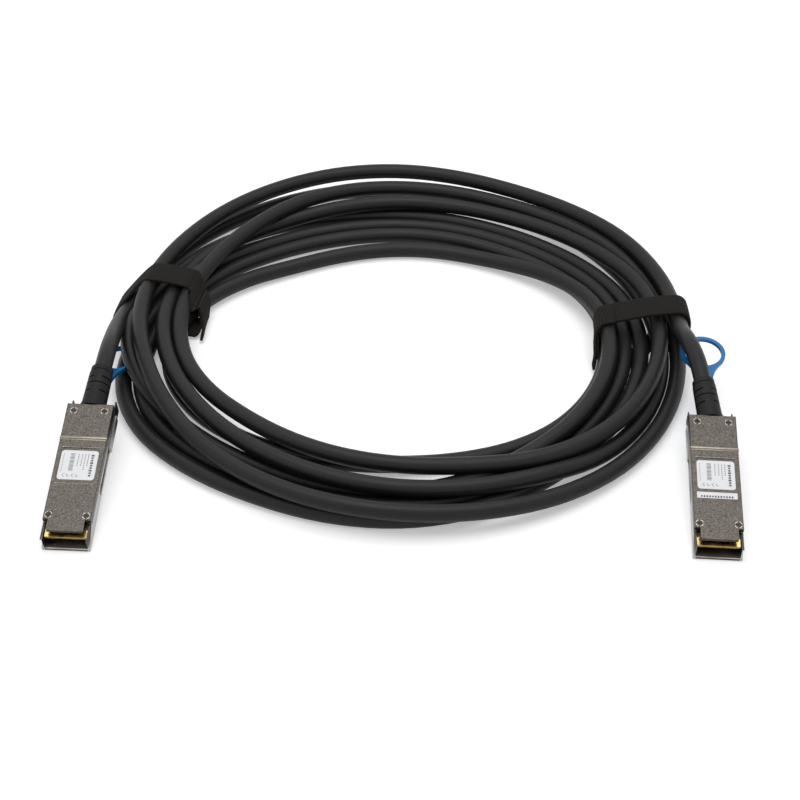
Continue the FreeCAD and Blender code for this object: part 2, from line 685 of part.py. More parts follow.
def pull_tab(p, side, slider):
    """The moulded tab: a root over the yoke, a strap and a finger ring, bent as it lies."""
    mid = "-yoke_top + arm_sheet / 2"
    root = box(p + "tab_root", ("-root_width / 2", "root_width / 2"),
               (f"{YOKE_FRONT} - root_cover", f"{YOKE_FRONT} + yoke_length + root_cover"),
               (f"{mid} - tab_sheet / 2", f"{mid} + tab_sheet / 2"))
    soft_root = rounded(p + "tab_root_round", root, "root_round",
                        lambda m, edge: abs(edge.tangentAt(edge.FirstParameter).z) > 0.9
                        and m.y > worth(YOKE_FRONT))
    body = doc.addObject("PartDesign::Body", p + "tab_body")
    drawing = sketch_on(body, p + "tab_outline")
    a, ring = size("tab_strap_width") / 2, size("tab_ring_radius")
    y0, yc = size("tab_flare_start"), size("tab_ring_back")
    flare = (a * a + (yc - y0) ** 2 - ring * ring) / (2 * (ring - a))
    touch = Vector(ring * (a + flare) / (ring + flare), yc - ring * (yc - y0) / (ring + flare), 0)
    mid_angle = math.atan2(yc - y0, a + flare) / 2

    def mirrored(v, sign):
        return Vector(sign * v.x, v.y, 0)

    bend = Vector(a + flare - flare * math.cos(mid_angle), y0 + flare * math.sin(mid_angle), 0)
    far = Vector(0, yc + ring, 0)
    for sign in (-1, 1):
        drawing.addGeometry(Part.LineSegment(mirrored(Vector(a, 0, 0), sign), mirrored(Vector(a, y0, 0), sign)), False)
        drawing.addGeometry(Part.Arc(mirrored(Vector(a, y0, 0), sign), mirrored(bend, sign), mirrored(touch, sign)),
                            False)
    drawing.addGeometry(Part.LineSegment(Vector(-a, 0, 0), Vector(a, 0, 0)), False)
    drawing.addGeometry(Part.Arc(mirrored(touch, -1), far, touch), False)
    drawing.addGeometry(Part.Circle(Vector(0, yc, 0), Vector(0, 0, 1), size("tab_hole_radius")), False)
    pad = body.newObject("PartDesign::Pad", p + "tab_pad")
    pad.Profile = drawing
    bind(pad, "Length", "tab_sheet")
    pad.Midplane = True
    bent = group(p + "tab_bent", [body])
    turn = Rotation(Vector(0, 0, 1), -PLUGS[side]["tab_turn"])
    droop = Rotation(Vector(1, 0, 0), -PLUGS[side]["tab_droop"])
    bent.Placement = Placement(Vector(), turn.multiply(droop))
    bind(bent, "Placement.Base.y", f"{YOKE_FRONT} + tab_inset")
    bind(bent, "Placement.Base.z", mid)
    return cut(p + "tab_cut", fuse(p + "tab_all", [soft_root, bent]), [slider])


def id_label(p):
    """The paper label in the roof's recess."""
    half = "(label_recess_width / 2 - label_side_gap)"
    paper = box(p + "label_paper", (f"-{half}", half),
                (f"{LABEL_FRONT} + label_end_gap", f"{LABEL_FRONT} + label_recess_length - label_end_gap"),
                ("plug_height - label_recess_depth", "plug_height - label_recess_depth + label_sheet"))
    return rounded(p + "label_round", paper, "label_corner",
                   lambda mid, edge: abs(edge.tangentAt(edge.FirstParameter).z) > 0.9)


def build_plug(side):
    """All the nodes of one plug."""
    p, pose = side + "_", plug_pose(side)
    card = paddle_card(p)
    slider = latch_slider(p)
    pieces = {
        "lower_shell": lower_shell(p), "upper_shell": upper_shell(p), "emi_gasket": emi_gasket(p),
        "cover_screws": cover_screws(p), "paddle_card": card, "contact_pads": contact_pads(p),
        "id_chip": id_chip(p), "card_parts": card_parts(p), "wire_overmould": wire_overmould(p, card),
        "twinax_wires": twinax_wires(p), "shield_ferrule": shield_ferrule(p),
        "strain_relief": strain_relief(p, side), "latch_slider": slider,
        "return_springs": return_springs(p), "pull_tab": pull_tab(p, side, slider), "id_label": id_label(p),
    }
    for name, obj in pieces.items():
        node(p + name, obj, pose)


def ring_face(inner, outer):
    """A flat ring between two closed smooth outlines given as radii at even angles."""
    faces = []
    for radii in (outer, inner):
        step = 360 / len(radii)
        points = [Vector(COIL_MIDDLE[0] + r * math.cos(math.radians(i * step)),
                         COIL_MIDDLE[1] + r * math.sin(math.radians(i * step)), 0)
                  for i, r in enumerate(radii)]
        curve = Part.BSplineCurve()
        curve.interpolate(Points=points, PeriodicFlag=True)
        faces.append(Part.Face(Part.Wire(curve.toShape())))
    return faces[0].cut(faces[1])


def tie_frame(angle, inner, outer):
    """A tie around the coil's section at one angle, square to the cable."""
    sheet_, width = size("tie_sheet"), size("tie_width")
    near, far, high = inner - size("tie_edge"), outer + size("tie_edge"), size("coil_height")
    whole = Part.makeBox(far - near + 2 * sheet_, width, high + sheet_, Vector(near - sheet_, -width / 2, 0))
    hollow = Part.makeBox(far - near, 2 * width, high - sheet_, Vector(near, -width, sheet_))
    frame = whole.cut(hollow)
    frame.Placement = Placement(Vector(COIL_MIDDLE[0], COIL_MIDDLE[1], 0), Rotation(Vector(0, 0, 1), angle))
    return frame


def build_coil():
    """The wound part of the cable as one plain solid, and the two ties around it."""
    lower = ring_face(LOWER_INNER, LOWER_OUTER).extrude(Vector(0, 0, size("layer_height")))
    upper = ring_face(UPPER_INNER, UPPER_OUTER)
    upper.translate(Vector(0, 0, size("layer_height")))
    upper = upper.extrude(Vector(0, 0, size("coil_height") - size("layer_height")))
    crossing = [Vector(COIL_MIDDLE[0] + r * math.cos(math.radians(a)),
                       COIL_MIDDLE[1] + r * math.sin(math.radians(a)), size("coil_height"))
                for r, a in CROSSING]
    top = Part.Face(Part.makePolygon(crossing + crossing[:1])).extrude(
        Vector(0, 0, size("crossing_height") - size("coil_height")))
    solid = lower.fuse([upper, top]).removeSplitter()
    ties = {"left_strap": tie_frame(LEFT_TIE_ANGLE, LOWER_INNER[5], LOWER_OUTER[5]),
            "right_strap": tie_frame(RIGHT_TIE_ANGLE, LOWER_INNER[0], LOWER_OUTER[0])}
    shapes = {"cable_coil": solid.cut(list(ties.values()))}
    shapes.update(ties)
    for name, shape in shapes.items():
        feature = doc.addObject("Part::Feature", name)
        feature.Shape = shape
        feature.Label = name
        nodes[name] = feature


def lead_points(side, route):
    """The route of a lead: inside the boot, the boot's tip, then the chosen points."""
    frame = plug_pose(side).multiply(boot_pose(side))
    inside = frame.multVec(Vector(0, size("lead_start"), 0))
    tip = frame.multVec(Vector(0, size("boot_length"), 0))
    return [inside, tip] + [Vector(*p) for p in route]


def build_lead(side, route):
    """A round tube along straight runs joined by arcs that touch them."""
    points = lead_points(side, route)
    edges, here = [], points[0]
    for before, corner, after in zip(points, points[1:], points[2:]):
        run_in, run_out = corner - before, after - corner
        turn = run_in.getAngle(run_out)
        reach = 0.45 * min(run_in.Length, run_out.Length)
        into, out = Vector(run_in).normalize(), Vector(run_out).normalize()
        start, end = corner - into * reach, corner + out * reach
        radius = reach / math.tan(turn / 2)
        print(f"{side}_lead: turn {math.degrees(turn):.1f} degrees, radius {radius:.1f} mm")
        middle = (out - into).normalize()
        bulge = corner + middle * (radius / math.cos(turn / 2) - radius)
        edges += [Part.LineSegment(here, start).toShape(), Part.Arc(start, bulge, end).toShape()]
        here = end
    edges.append(Part.LineSegment(here, points[-1]).toShape())
    path = Part.Wire(edges)
    radius = size("cable_radius")
    section = Part.Wire(Part.makeCircle(radius, points[0], points[1] - points[0]))
    tube = path.makePipeShell([section], True, False)
    print(f"{side}_lead: length {path.Length:.1f} mm, volume ratio "
          f"{tube.Volume / (math.pi * radius ** 2 * path.Length):.5f}")
    feature = doc.addObject("Part::Feature", side + "_lead")
    feature.Shape = tube
    feature.Label = side + "_lead"
    nodes[side + "_lead"] = feature


def origin_strip():
    """The blank paper strip beside the right plug's label."""
    strip = box("strip_paper", ("-label_recess_width / 2", "label_recess_width / 2"),
                (f"{LABEL_FRONT} - strip_gap - strip_length", f"{LABEL_FRONT} - strip_gap"),
                ("plug_height - strip_recess_depth", "plug_height - strip_recess_depth + strip_sheet"))
    node("right_origin_strip", strip, plug_pose("right"))


for side in PLUGS:
    build_plug(side)
origin_strip()
build_coil()
build_lead("left", LEFT_ROUTE)
build_lead("right", RIGHT_ROUTE)
doc.recompute()

for obj in doc.Objects:
    if "Invalid" in obj.State or "Error" in obj.State:
        raise RuntimeError(f"{obj.Name} did not recompute: {obj.State}")
for name, obj in nodes.items():
    if obj.Shape.isNull() or not obj.Shape.isValid() or not obj.Shape.Solids:
        raise RuntimeError(f"{name} has no valid shape")

os.makedirs("parts", exist_ok=True)
for name, obj in nodes.items():
    obj.Shape.exportStep(f"parts/{name}.step")
rigid = [o.Shape.BoundBox for n, o in nodes.items()
         if n not in ("cable_coil", "left_lead", "right_lead", "left_strap", "right_strap")]
print("plugs' box: x %.3f to %.3f, y %.3f to %.3f, z %.3f to %.3f" % (
    min(b.XMin for b in rigid), max(b.XMax for b in rigid), min(b.YMin for b in rigid),
    max(b.YMax for b in rigid), min(b.ZMin for b in rigid), max(b.ZMax for b in rigid)))
print(len(nodes), "nodes written")
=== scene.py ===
"""The looks of a direct attach copper cable: jacket, ties, plugs, contacts, labels and pull rings.

Metres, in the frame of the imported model: +X from the left plug to the right plug, +Y away
from the noses, +Z up, the table at z = 0.
"""
import json
import math

import bmesh
import bpy
import numpy as np
from bpy.props import FloatProperty, FloatVectorProperty, IntProperty, PointerProperty
from mathutils import Matrix, Vector


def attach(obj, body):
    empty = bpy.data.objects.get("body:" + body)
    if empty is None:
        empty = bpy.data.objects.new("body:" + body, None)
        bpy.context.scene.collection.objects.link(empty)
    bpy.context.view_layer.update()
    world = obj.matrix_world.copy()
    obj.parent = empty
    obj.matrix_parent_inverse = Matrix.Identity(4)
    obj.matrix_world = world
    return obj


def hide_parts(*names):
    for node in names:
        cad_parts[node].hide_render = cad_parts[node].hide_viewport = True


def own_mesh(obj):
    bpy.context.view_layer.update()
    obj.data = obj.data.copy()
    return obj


bl_info = {
    "name": "Direct Attach Copper Cable",
    "version": (1, 0, 0),
    "blender": (4, 5, 0),
    "location": "3D View > Sidebar > Copper Cable",
    "description": "Builds the cable, ties, labels and finishes around the packed solids",
    "category": "Object",
}

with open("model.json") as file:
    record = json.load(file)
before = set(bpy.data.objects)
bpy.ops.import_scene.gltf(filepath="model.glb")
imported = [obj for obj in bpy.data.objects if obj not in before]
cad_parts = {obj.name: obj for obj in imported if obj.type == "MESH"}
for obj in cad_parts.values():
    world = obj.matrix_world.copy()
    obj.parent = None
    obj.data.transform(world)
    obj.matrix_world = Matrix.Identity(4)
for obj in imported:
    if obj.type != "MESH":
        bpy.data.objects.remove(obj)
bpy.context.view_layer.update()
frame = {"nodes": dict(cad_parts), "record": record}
MM = 0.001
SIDES = ("left", "right")

# the plug's own sizes, as its solids have them; without MM, they are in millimetres
MOUTH_HEIGHT = 4.7 * MM
PLUG_HALF = 9.175 * MM
ROOF = 8.5 * MM
LABEL_TOP = 8.37
SCREWS = ((-7.2, 10.4), (7.2, 10.4), (-6.1, 58.6), (6.1, 58.6))
# the card's two faces, as the bottom and top of the gold on each
CARD_FACES = ((5.19, 5.27), (4.13, 4.21))
FINGERS, FINGER_PITCH, FINGER_HALF = 19, 0.8, 0.28

# the collar's front, how far its foot is sunk, and its outline as distance back and stand-off
COLLAR_BACK, COLLAR_FOOT, COLLAR_BEVEL = 44.5, -0.3, 0.5
COLLAR = ((0.0, 0.0), (0.04, 0.12), (0.2, 0.12), (0.26, -0.1), (0.72, -0.1), (0.78, 0.12), (0.98, 0.24),
          (1.4, 0.26), (1.72, 0.16), (1.9, 0.02), (1.9, -0.3))

# the return springs: front and back, distance across and height, radius, and the wire
SPRING_FRONT, SPRING_BACK = 50.22, 56.38
SPRING_ACROSS, SPRING_HEIGHT, SPRING_RADIUS = 7.325, 2.45, 0.58
WIRE_RADIUS, WIRE_STEPS, WIRE_SIDES = 0.12, 12, 6

# where the tabs leave their plugs, the length they bend over, and their middle line
TAB_ROOT, TAB_BEND, TAB_MIDDLE = 62.3, 14.0, 4.75
# how far each tab is moved aside at its ring, how much it is narrowed, and how far its root leans over
TAB_LIE = {"left": (3.3, 0.38, 1.9), "right": (0.0, 0.0, 0.0)}

# free stretches of cable, from inside the boot to where they join the coil
LEFT_LEAD = [(-0.12156, 0.01378, 0.0208), (-0.1205, 0.02538, 0.0237), (-0.1202, 0.039, 0.0236),
             (-0.1206, 0.052, 0.0198), (-0.1216, 0.067, 0.0136), (-0.1216, 0.081, 0.0082),
             (-0.1198, 0.094, 0.0048)]
RIGHT_LEAD = [(0.12217, 0.0098, 0.01785), (0.12178, 0.02156, 0.02023), (0.1209, 0.034, 0.0227),
              (0.1189, 0.0465, 0.0228), (0.1184, 0.0575, 0.0182), (0.1188, 0.0665, 0.0147),
              (0.1192, 0.0765, 0.0133)]

# the wound coil: its middle, the stations where its turns are placed, and each turn's
# distance from the middle and height there, in millimetres, from the left lead on
COIL_MIDDLE = Vector((-0.00045, 0.075, 0))
POINTS_A_TURN = 24
STATIONS = (165, 130, 100, 60, 5, -40, -90, -135)
LOW, UP = 3.6, 10.7
TURNS = (
    ((119.6, LOW), (118.5, LOW), (118, LOW), (109.7, LOW), (111, LOW), (115.4, LOW), (104.8, UP), (98.6, UP)),
    ((103.7, UP), (89.5, LOW), (84.8, LOW), (83.7, LOW), (97, LOW), (97.5, LOW), (108.5, LOW), (111, LOW)),
    ((97, LOW), (82, LOW), (76.8, LOW), (76.5, LOW), (89.5, LOW), (90.2, LOW), (82.5, LOW), (94.2, LOW)),
    ((91, LOW), (67, LOW), (64.3, LOW), (66.2, LOW), (88, UP), (95, UP), (101.3, LOW), (104.2, LOW)),
    ((110.5, LOW), (104, LOW), (93.8, LOW), (91, LOW), (104, LOW), (104.7, LOW), (115.9, LOW), (119.2, LOW)),
    ((103.6, LOW), (97, 9), (93.5, 11), (96.7, 9), (112, UP), (111, 12), (91.1, UP), (87.5, UP)),
    ((97, UP), (95, 15.5), (106.3, 12), (105, 10), (118, LOW), (122.5, LOW), (117.8, UP), (112.2, 11.2)),
    ((114.8, UP), (116, 14), (118.7, 14), (111.2, 14), (119.5, UP)),
)
# where one turn climbs over another between the stations: turn, angle, distance, height
CROSSINGS = (
    (0, -18, 114.0, LOW), (0, -62, 110.5, UP), (0, -155, 99.6, UP), (0, -170, 101.2, 12),
    (1, 150, 98, 6.5), (1, -120, 107.8, LOW), (1, -155, 117.3, LOW), (1, -166, 115.2, LOW),
    (2, 150, 92.5, LOW), (2, -155, 101, LOW), (2, -168, 102.5, LOW), (3, -120, 100.6, LOW),
    (3, -62, 99, 9.5), (3, -147, 109.8, LOW), (3, -156, 116.3, 11.7), (3, -166, 117, 15.5),
    (3, 180, 114.5, 7.5),
    (4, 150, 110, LOW), (4, -120, 114.8, LOW), (4, -148, 124.6, LOW), (4, -158, 124.6, LOW),
    (4, -168, 122.6, LOW), (4, -176, 117.5, LOW),
    (5, 150, 105, 8), (5, -155, 92.8, UP), (5, -170, 95, 9.5),
    (6, 148, 93, 14.5), (6, 30, 111.5, UP), (6, -155, 110, 13.7), (6, -168, 111, 15.5),
    (7, 30, 117.5, 14),
)
# settling: the rounds, and in each the fall, the pull back to the places above, the smoothing
# and each turn's share of the push that parts two that overlap
SETTLE_STEPS, SAG, PULL, EASE, PART = 400, 0.01, 0.12, 0.08, 0.4

# the ties: degrees round the coil, millimetres of slide and flare down their sides, and
# the radius and height in metres of a lead that runs under one beside the coil
TIES = {
    "left": {"angle": 165.0, "forward": 1, "inner_slide": 18.0, "outer_slide": 21.0, "outer_flare": 5.0,
             "curve": 0.75, "swell": 1.5, "beside": ()},
    "right": {"angle": 0.8, "forward": -1, "inner_slide": 17.0, "outer_slide": 5.0, "outer_flare": 3.0,
              "curve": 1.0, "swell": 0.9, "beside": ((0.1206, 0.0153),)},
}
TIE_REACH, TIE_RAMP = 26, 1.6
ACROSS_TIE, TIE_POINTS, TAIL_POINTS = 8, 96, 28
TIE_CLEARANCE, OFF_TABLE = 0.3 * MM, 0.05
TAIL_TURN = 1.4

# the lamps, as place, aim, size and power, and the camera
LAMPS = {
    "overhead": ((0.0, 0.12, 1.1), (0, 0.06, 0), 0.9, 6.6),
    "side": ((-1.1, -0.3, 0.8), (0, 0.06, 0), 0.7, 1.0),
}
CAMERA_PLACE, CAMERA_TILT, CAMERA_LENS = (-0.00045, -0.4769, 0.4295), 50, 72.0


# ---- sizes and colours

def length(name, description, metres):
    """A length that the sidebar shows."""
    return FloatProperty(name=name, description=description, default=metres, unit="LENGTH")


def shade(name, description, *levels):
    """A colour that the sidebar shows."""
    return FloatVectorProperty(name=name, description=description, subtype="COLOR", size=4,
                               default=(*levels, 1))


class CableSizes(bpy.types.PropertyGroup):
    """Sizes of the cable and its ties."""
    diameter: length("Cable diameter", "Outside diameter of the jacket", 0.007)
    tie_width: length("Tie width", "Width of the two fabric ties", 0.013)
    tie_sheet: length("Tie thickness", "Thickness of the tie's fabric", 0.0012)
    rib_pitch: length("Rib pitch", "Distance between the tie's woven ribs", 0.00062)
    spring_turns: IntProperty(name="Spring turns", description="Turns of each return spring", default=6)


class CableColours(bpy.types.PropertyGroup):
    """Colours of the cable and its plugs."""
    jacket: shade("Jacket", "Cable jacket", 0.0098, 0.0094, 0.0092)
    boot: shade("Boot", "Moulded strain relief", 0.009, 0.009, 0.0095)
    # a dark lining painted over the nose's floor and walls as the shade inside it
    shade_film: shade("Film", "Dark film inside the nose", 0.020, 0.016, 0.010)
    ink: shade("Ink", "Marks on the label", 0.06, 0.06, 0.07)
    tie: shade("Tie", "Woven ties", 0.0055, 0.0052, 0.005)
    # darkened as painted shade: the dim surroundings that the top reflects
    housing: shade("Housing", "Plated die-cast top of the housing", 0.092, 0.083, 0.074)
    # brightened as a painted reflection of the white table that the lower half's sides face
    reflection_lit_tray: shade("Tray", "Brighter lower half of the housing", 0.40, 0.40, 0.40)
    bright: shade("Bright steel", "Rims, rivets and springs", 0.50, 0.46, 0.39)
    gold: shade("Gold", "Gold plated contacts", 0.58, 0.40, 0.14)
    card: shade("Card", "Green solder mask", 0.012, 0.085, 0.04)
    tab: shade("Tab", "Blue pull tab", 0.0, 0.15, 0.43)
    label: shade("Label", "Paper label", 0.80, 0.81, 0.83)


def sizes():
    """The cable's sizes."""
    return bpy.context.scene.cable_sizes


def colours():
    """The cable's colours."""
    return bpy.context.scene.cable_colours


# ---- shader node groups

def group_socket(tree, name, way, kind, default=None):
    """A socket on a node group's interface."""
    socket = tree.interface.new_socket(name=name, in_out=way, socket_type=kind)
    if default is not None:
        socket.default_value = default
    return socket


def add(tree, kind, values=(), **props):
    """A node with its properties and its unlinked inputs set."""
    node = tree.nodes.new(kind)
    for key, value in props.items():
        setattr(node, key, value)
    for key, value in dict(values).items():
        node.inputs[key].default_value = value
    return node


def grain_group():
    """Uneven colour, gloss and surface from two sizes of noise on Object coordinates."""
    tree = bpy.data.node_groups.new("Moulded grain", "ShaderNodeTree")
    for name, kind, default in (("Fine", "NodeSocketFloat", 1500.0), ("Broad", "NodeSocketFloat", 60.0),
                                ("Dark", "NodeSocketColor", (0.5, 0.5, 0.5, 1)),
                                ("Pale", "NodeSocketColor", (0.6, 0.6, 0.6, 1)),
                                ("Smooth", "NodeSocketFloat", 0.3), ("Rough", "NodeSocketFloat", 0.5),
                                ("Depth", "NodeSocketFloat", 0.00002)):
        group_socket(tree, name, "INPUT", kind, default)
    for name, kind in (("Colour", "NodeSocketColor"), ("Roughness", "NodeSocketFloat"),
                       ("Normal", "NodeSocketVector")):
        group_socket(tree, name, "OUTPUT", kind)
    link = tree.links.new
    come, go = tree.nodes.new("NodeGroupInput"), tree.nodes.new("NodeGroupOutput")
    where = tree.nodes.new("ShaderNodeTexCoord")
    fine = add(tree, "ShaderNodeTexNoise", {"Detail": 3.0, "Roughness": 0.6})
    broad = add(tree, "ShaderNodeTexNoise", {"Detail": 3.0})
    blend = add(tree, "ShaderNodeMath", operation="ADD")
    share = add(tree, "ShaderNodeMapRange", {"From Min": 0.72, "From Max": 1.28})
    tint = add(tree, "ShaderNodeMix", data_type="RGBA")
    gloss = add(tree, "ShaderNodeMapRange", {"From Min": 0.3, "From Max": 0.7})
    bump = add(tree, "ShaderNodeBump", {"Strength": 1.0})
    for noise, size_name in ((fine, "Fine"), (broad, "Broad")):
        link(where.outputs["Object"], noise.inputs["Vector"])
        link(come.outputs[size_name], noise.inputs["Scale"])
    link(fine.outputs["Fac"], blend.inputs[0])
    link(broad.outputs["Fac"], blend.inputs[1])
    link(blend.outputs[0], share.inputs["Value"])
    link(share.outputs["Result"], tint.inputs["Factor"])
    link(come.outputs["Dark"], tint.inputs["A"])
    link(come.outputs["Pale"], tint.inputs["B"])
    link(broad.outputs["Fac"], gloss.inputs["Value"])
    link(come.outputs["Smooth"], gloss.inputs["To Min"])
    link(come.outputs["Rough"], gloss.inputs["To Max"])
    link(fine.outputs["Fac"], bump.inputs["Height"])
    link(come.outputs["Depth"], bump.inputs["Distance"])
    link(tint.outputs["Result"], go.inputs["Colour"])
    link(gloss.outputs["Result"], go.inputs["Roughness"])
    link(bump.outputs["Normal"], go.inputs["Normal"])
    return tree


def edge_group():
    """How near a point is to a sharp edge, from a rounded look at the surface."""
    tree = bpy.data.node_groups.new("Worn edge", "ShaderNodeTree")
    group_socket(tree, "Radius", "INPUT", "NodeSocketFloat", 0.0002)
    group_socket(tree, "Edge", "OUTPUT", "NodeSocketFloat")
    link = tree.links.new
    come, go = tree.nodes.new("NodeGroupInput"), tree.nodes.new("NodeGroupOutput")
    soft = add(tree, "ShaderNodeBevel", samples=4)
    flat = tree.nodes.new("ShaderNodeNewGeometry")
    likeness = add(tree, "ShaderNodeVectorMath", operation="DOT_PRODUCT")
    span = add(tree, "ShaderNodeMapRange", {"From Min": 0.995, "From Max": 0.90})
    link(come.outputs["Radius"], soft.inputs["Radius"])
    link(soft.outputs["Normal"], likeness.inputs[0])
    link(flat.outputs["True Normal"], likeness.inputs[1])
    link(likeness.outputs["Value"], span.inputs["Value"])
    link(span.outputs["Result"], go.inputs["Edge"])
    return tree


def rib_group():
    """Woven ribs across a tie, from the distance along it, with a mask of the rib tops for a painted
    highlight.
    """
    tree = bpy.data.node_groups.new("Woven ribs", "ShaderNodeTree")
    group_socket(tree, "Pitch", "INPUT", "NodeSocketFloat", 0.0006)
    group_socket(tree, "Normal", "OUTPUT", "NodeSocketVector")
    group_socket(tree, "Crest highlight", "OUTPUT", "NodeSocketFloat")
    group_socket(tree, "Selvage", "OUTPUT", "NodeSocketFloat")
    link = tree.links.new
    come, go = tree.nodes.new("NodeGroupInput"), tree.nodes.new("NodeGroupOutput")
    along = add(tree, "ShaderNodeAttribute", attribute_name="along")
    across = add(tree, "ShaderNodeAttribute", attribute_name="across")
    turns = add(tree, "ShaderNodeMath", operation="DIVIDE")
    angle = add(tree, "ShaderNodeMath", {1: 2 * math.pi}, operation="MULTIPLY")
    wave = add(tree, "ShaderNodeMath", operation="SINE")
    crest_and_highlight = add(tree, "ShaderNodeMapRange", {"From Min": -1.0, "From Max": 1.0})
    where = tree.nodes.new("ShaderNodeTexCoord")
    fluff = add(tree, "ShaderNodeTexNoise", {"Scale": 2500.0, "Detail": 3.0})
    height = add(tree, "ShaderNodeMath", operation="ADD")
    bump = add(tree, "ShaderNodeBump", {"Strength": 0.9, "Distance": 0.00012})
    side = add(tree, "ShaderNodeMath", operation="ABSOLUTE")
    selvage = add(tree, "ShaderNodeMapRange", {"From Min": 0.90, "From Max": 0.99})
    link(along.outputs["Fac"], turns.inputs[0])
    link(come.outputs["Pitch"], turns.inputs[1])
    link(turns.outputs[0], angle.inputs[0])
    link(angle.outputs[0], wave.inputs[0])
    link(wave.outputs[0], crest_and_highlight.inputs["Value"])
    link(where.outputs["Object"], fluff.inputs["Vector"])
    link(crest_and_highlight.outputs["Result"], height.inputs[0])
    link(fluff.outputs["Fac"], height.inputs[1])
    link(height.outputs[0], bump.inputs["Height"])
    link(across.outputs["Fac"], side.inputs[0])
    link(side.outputs[0], selvage.inputs["Value"])
    link(bump.outputs["Normal"], go.inputs["Normal"])
    link(crest_and_highlight.outputs["Result"], go.inputs["Crest highlight"])
    link(selvage.outputs["Result"], go.inputs["Selvage"])
    return tree


GROUPS = {}


def effect(tree, name):
    """A node that uses one of the shared groups."""
    makers = {"grain": grain_group, "edge": edge_group, "ribs": rib_group}
    if name not in GROUPS:
        GROUPS[name] = makers[name]()
    node = tree.nodes.new("ShaderNodeGroup")
    node.node_tree = GROUPS[name]
    return node


# ---- materials

def finish(name, colour, fine, broad, smooth, rough, depth, contrast=0.12, **shader_values):
    """A material of one colour, broken up by grain."""
    mat = bpy.data.materials.new(name)
    mat.use_nodes = True
    tree = mat.node_tree
    shader = tree.nodes["Principled BSDF"]
    grain = effect(tree, "grain")
    grain.inputs["Dark"].default_value = [c * (1 - contrast) for c in colour[:3]] + [1]
    grain.inputs["Pale"].default_value = [min(1, c * (1 + contrast)) for c in colour[:3]] + [1]
    values = {"Fine": fine, "Broad": broad, "Smooth": smooth, "Rough": rough, "Depth": depth}
    for key, value in values.items():
        grain.inputs[key].default_value = value
    tree.links.new(grain.outputs["Colour"], shader.inputs["Base Color"])
    tree.links.new(grain.outputs["Roughness"], shader.inputs["Roughness"])
    tree.links.new(grain.outputs["Normal"], shader.inputs["Normal"])
    for key, value in shader_values.items():
        shader.inputs[key.replace("_", " ")].default_value = value
    return mat


def wear(mat, colour, radius):
    """Let a paler colour through along the edges of a material."""
    tree = mat.node_tree
    shader = tree.nodes["Principled BSDF"]
    edge = effect(tree, "edge")
    edge.inputs["Radius"].default_value = radius
    mix = add(tree, "ShaderNodeMix", data_type="RGBA")
    tree.links.new(edge.outputs["Edge"], mix.inputs["Factor"])
    tree.links.new(shader.inputs["Base Color"].links[0].from_socket, mix.inputs["A"])
    mix.inputs["B"].default_value = [*colour[:3], 1]
    tree.links.new(mix.outputs["Result"], shader.inputs["Base Color"])
    return mat


def shaded_housing_metal():
    """Plated nickel over a die casting: a fine speckle and brighter edges, on a colour darkened as painted
    shade for the dim surroundings that its top reflects.
    """
    mat = finish("Satin nickel with painted shade", colours().housing, 2600, 1400, 0.40, 0.46, 0.00002, 0.6, Metallic=1.0)
    return wear(mat, (0.2, 0.18, 0.155), 0.00012)


def reflection_lit_tray_metal():
    """The lower half's nickel, brightened as a painted reflection of the white table that its sides face."""
    mat = finish("Nickel with painted reflection", colours().reflection_lit_tray, 2300, 90, 0.30, 0.42, 0.00001, 0.25, Metallic=1.0)
    return wear(mat, colours().bright, 0.00018)


def collar_metal():
    """The tan bead of the spring collar."""
    return finish("Collar steel", (0.27, 0.245, 0.195), 2600, 900, 0.34, 0.44, 0.00001, 0.3, Metallic=1.0)


def screw_metal():
    """The dull steel of the screws and the latch."""
    return finish("Screw steel", (0.05, 0.045, 0.04), 2600, 300, 0.3, 0.42, 0.00001, 0.5, Metallic=1.0)


def nose_shade_film():
    """The dark, faintly golden lining of the nose, painted shade for the cavity under the card."""
    return finish("Nose film", colours().shade_film, 900, 160, 0.3, 0.5, 0.00001, 0.5)


def label_ink():
    """Dark grey print."""
    return finish("Label ink", colours().ink, 2500, 200, 0.5, 0.65, 0.000002, 0.1)


def bright_metal():
    """Bright stamped steel."""
    return finish("Bright steel", colours().bright, 1800, 150, 0.2, 0.34, 0.000004, 0.10, Metallic=1.0)


def gold_plate():
    """Gold plated contacts."""
    return finish("Gold plate", colours().gold, 2500, 300, 0.22, 0.36, 0.000003, 0.12, Metallic=1.0)


def card_mask():
    """Green solder mask, unevenly tinted."""
    return finish("Solder mask", colours().card, 1500, 420, 0.22, 0.4, 0.00001, 0.35)


def jacket_rubber():
    """The cable's satin jacket, a little uneven in gloss."""
    return finish("Cable jacket", colours().jacket, 900, 45, 0.40, 0.50, 0.00003, 0.25,
                  Specular_IOR_Level=0.24)


def boot_rubber():
    """The moulded strain relief, a little duller than the jacket."""
    return finish("Boot", colours().boot, 1400, 120, 0.46, 0.6, 0.00003, 0.2, Specular_IOR_Level=0.18)


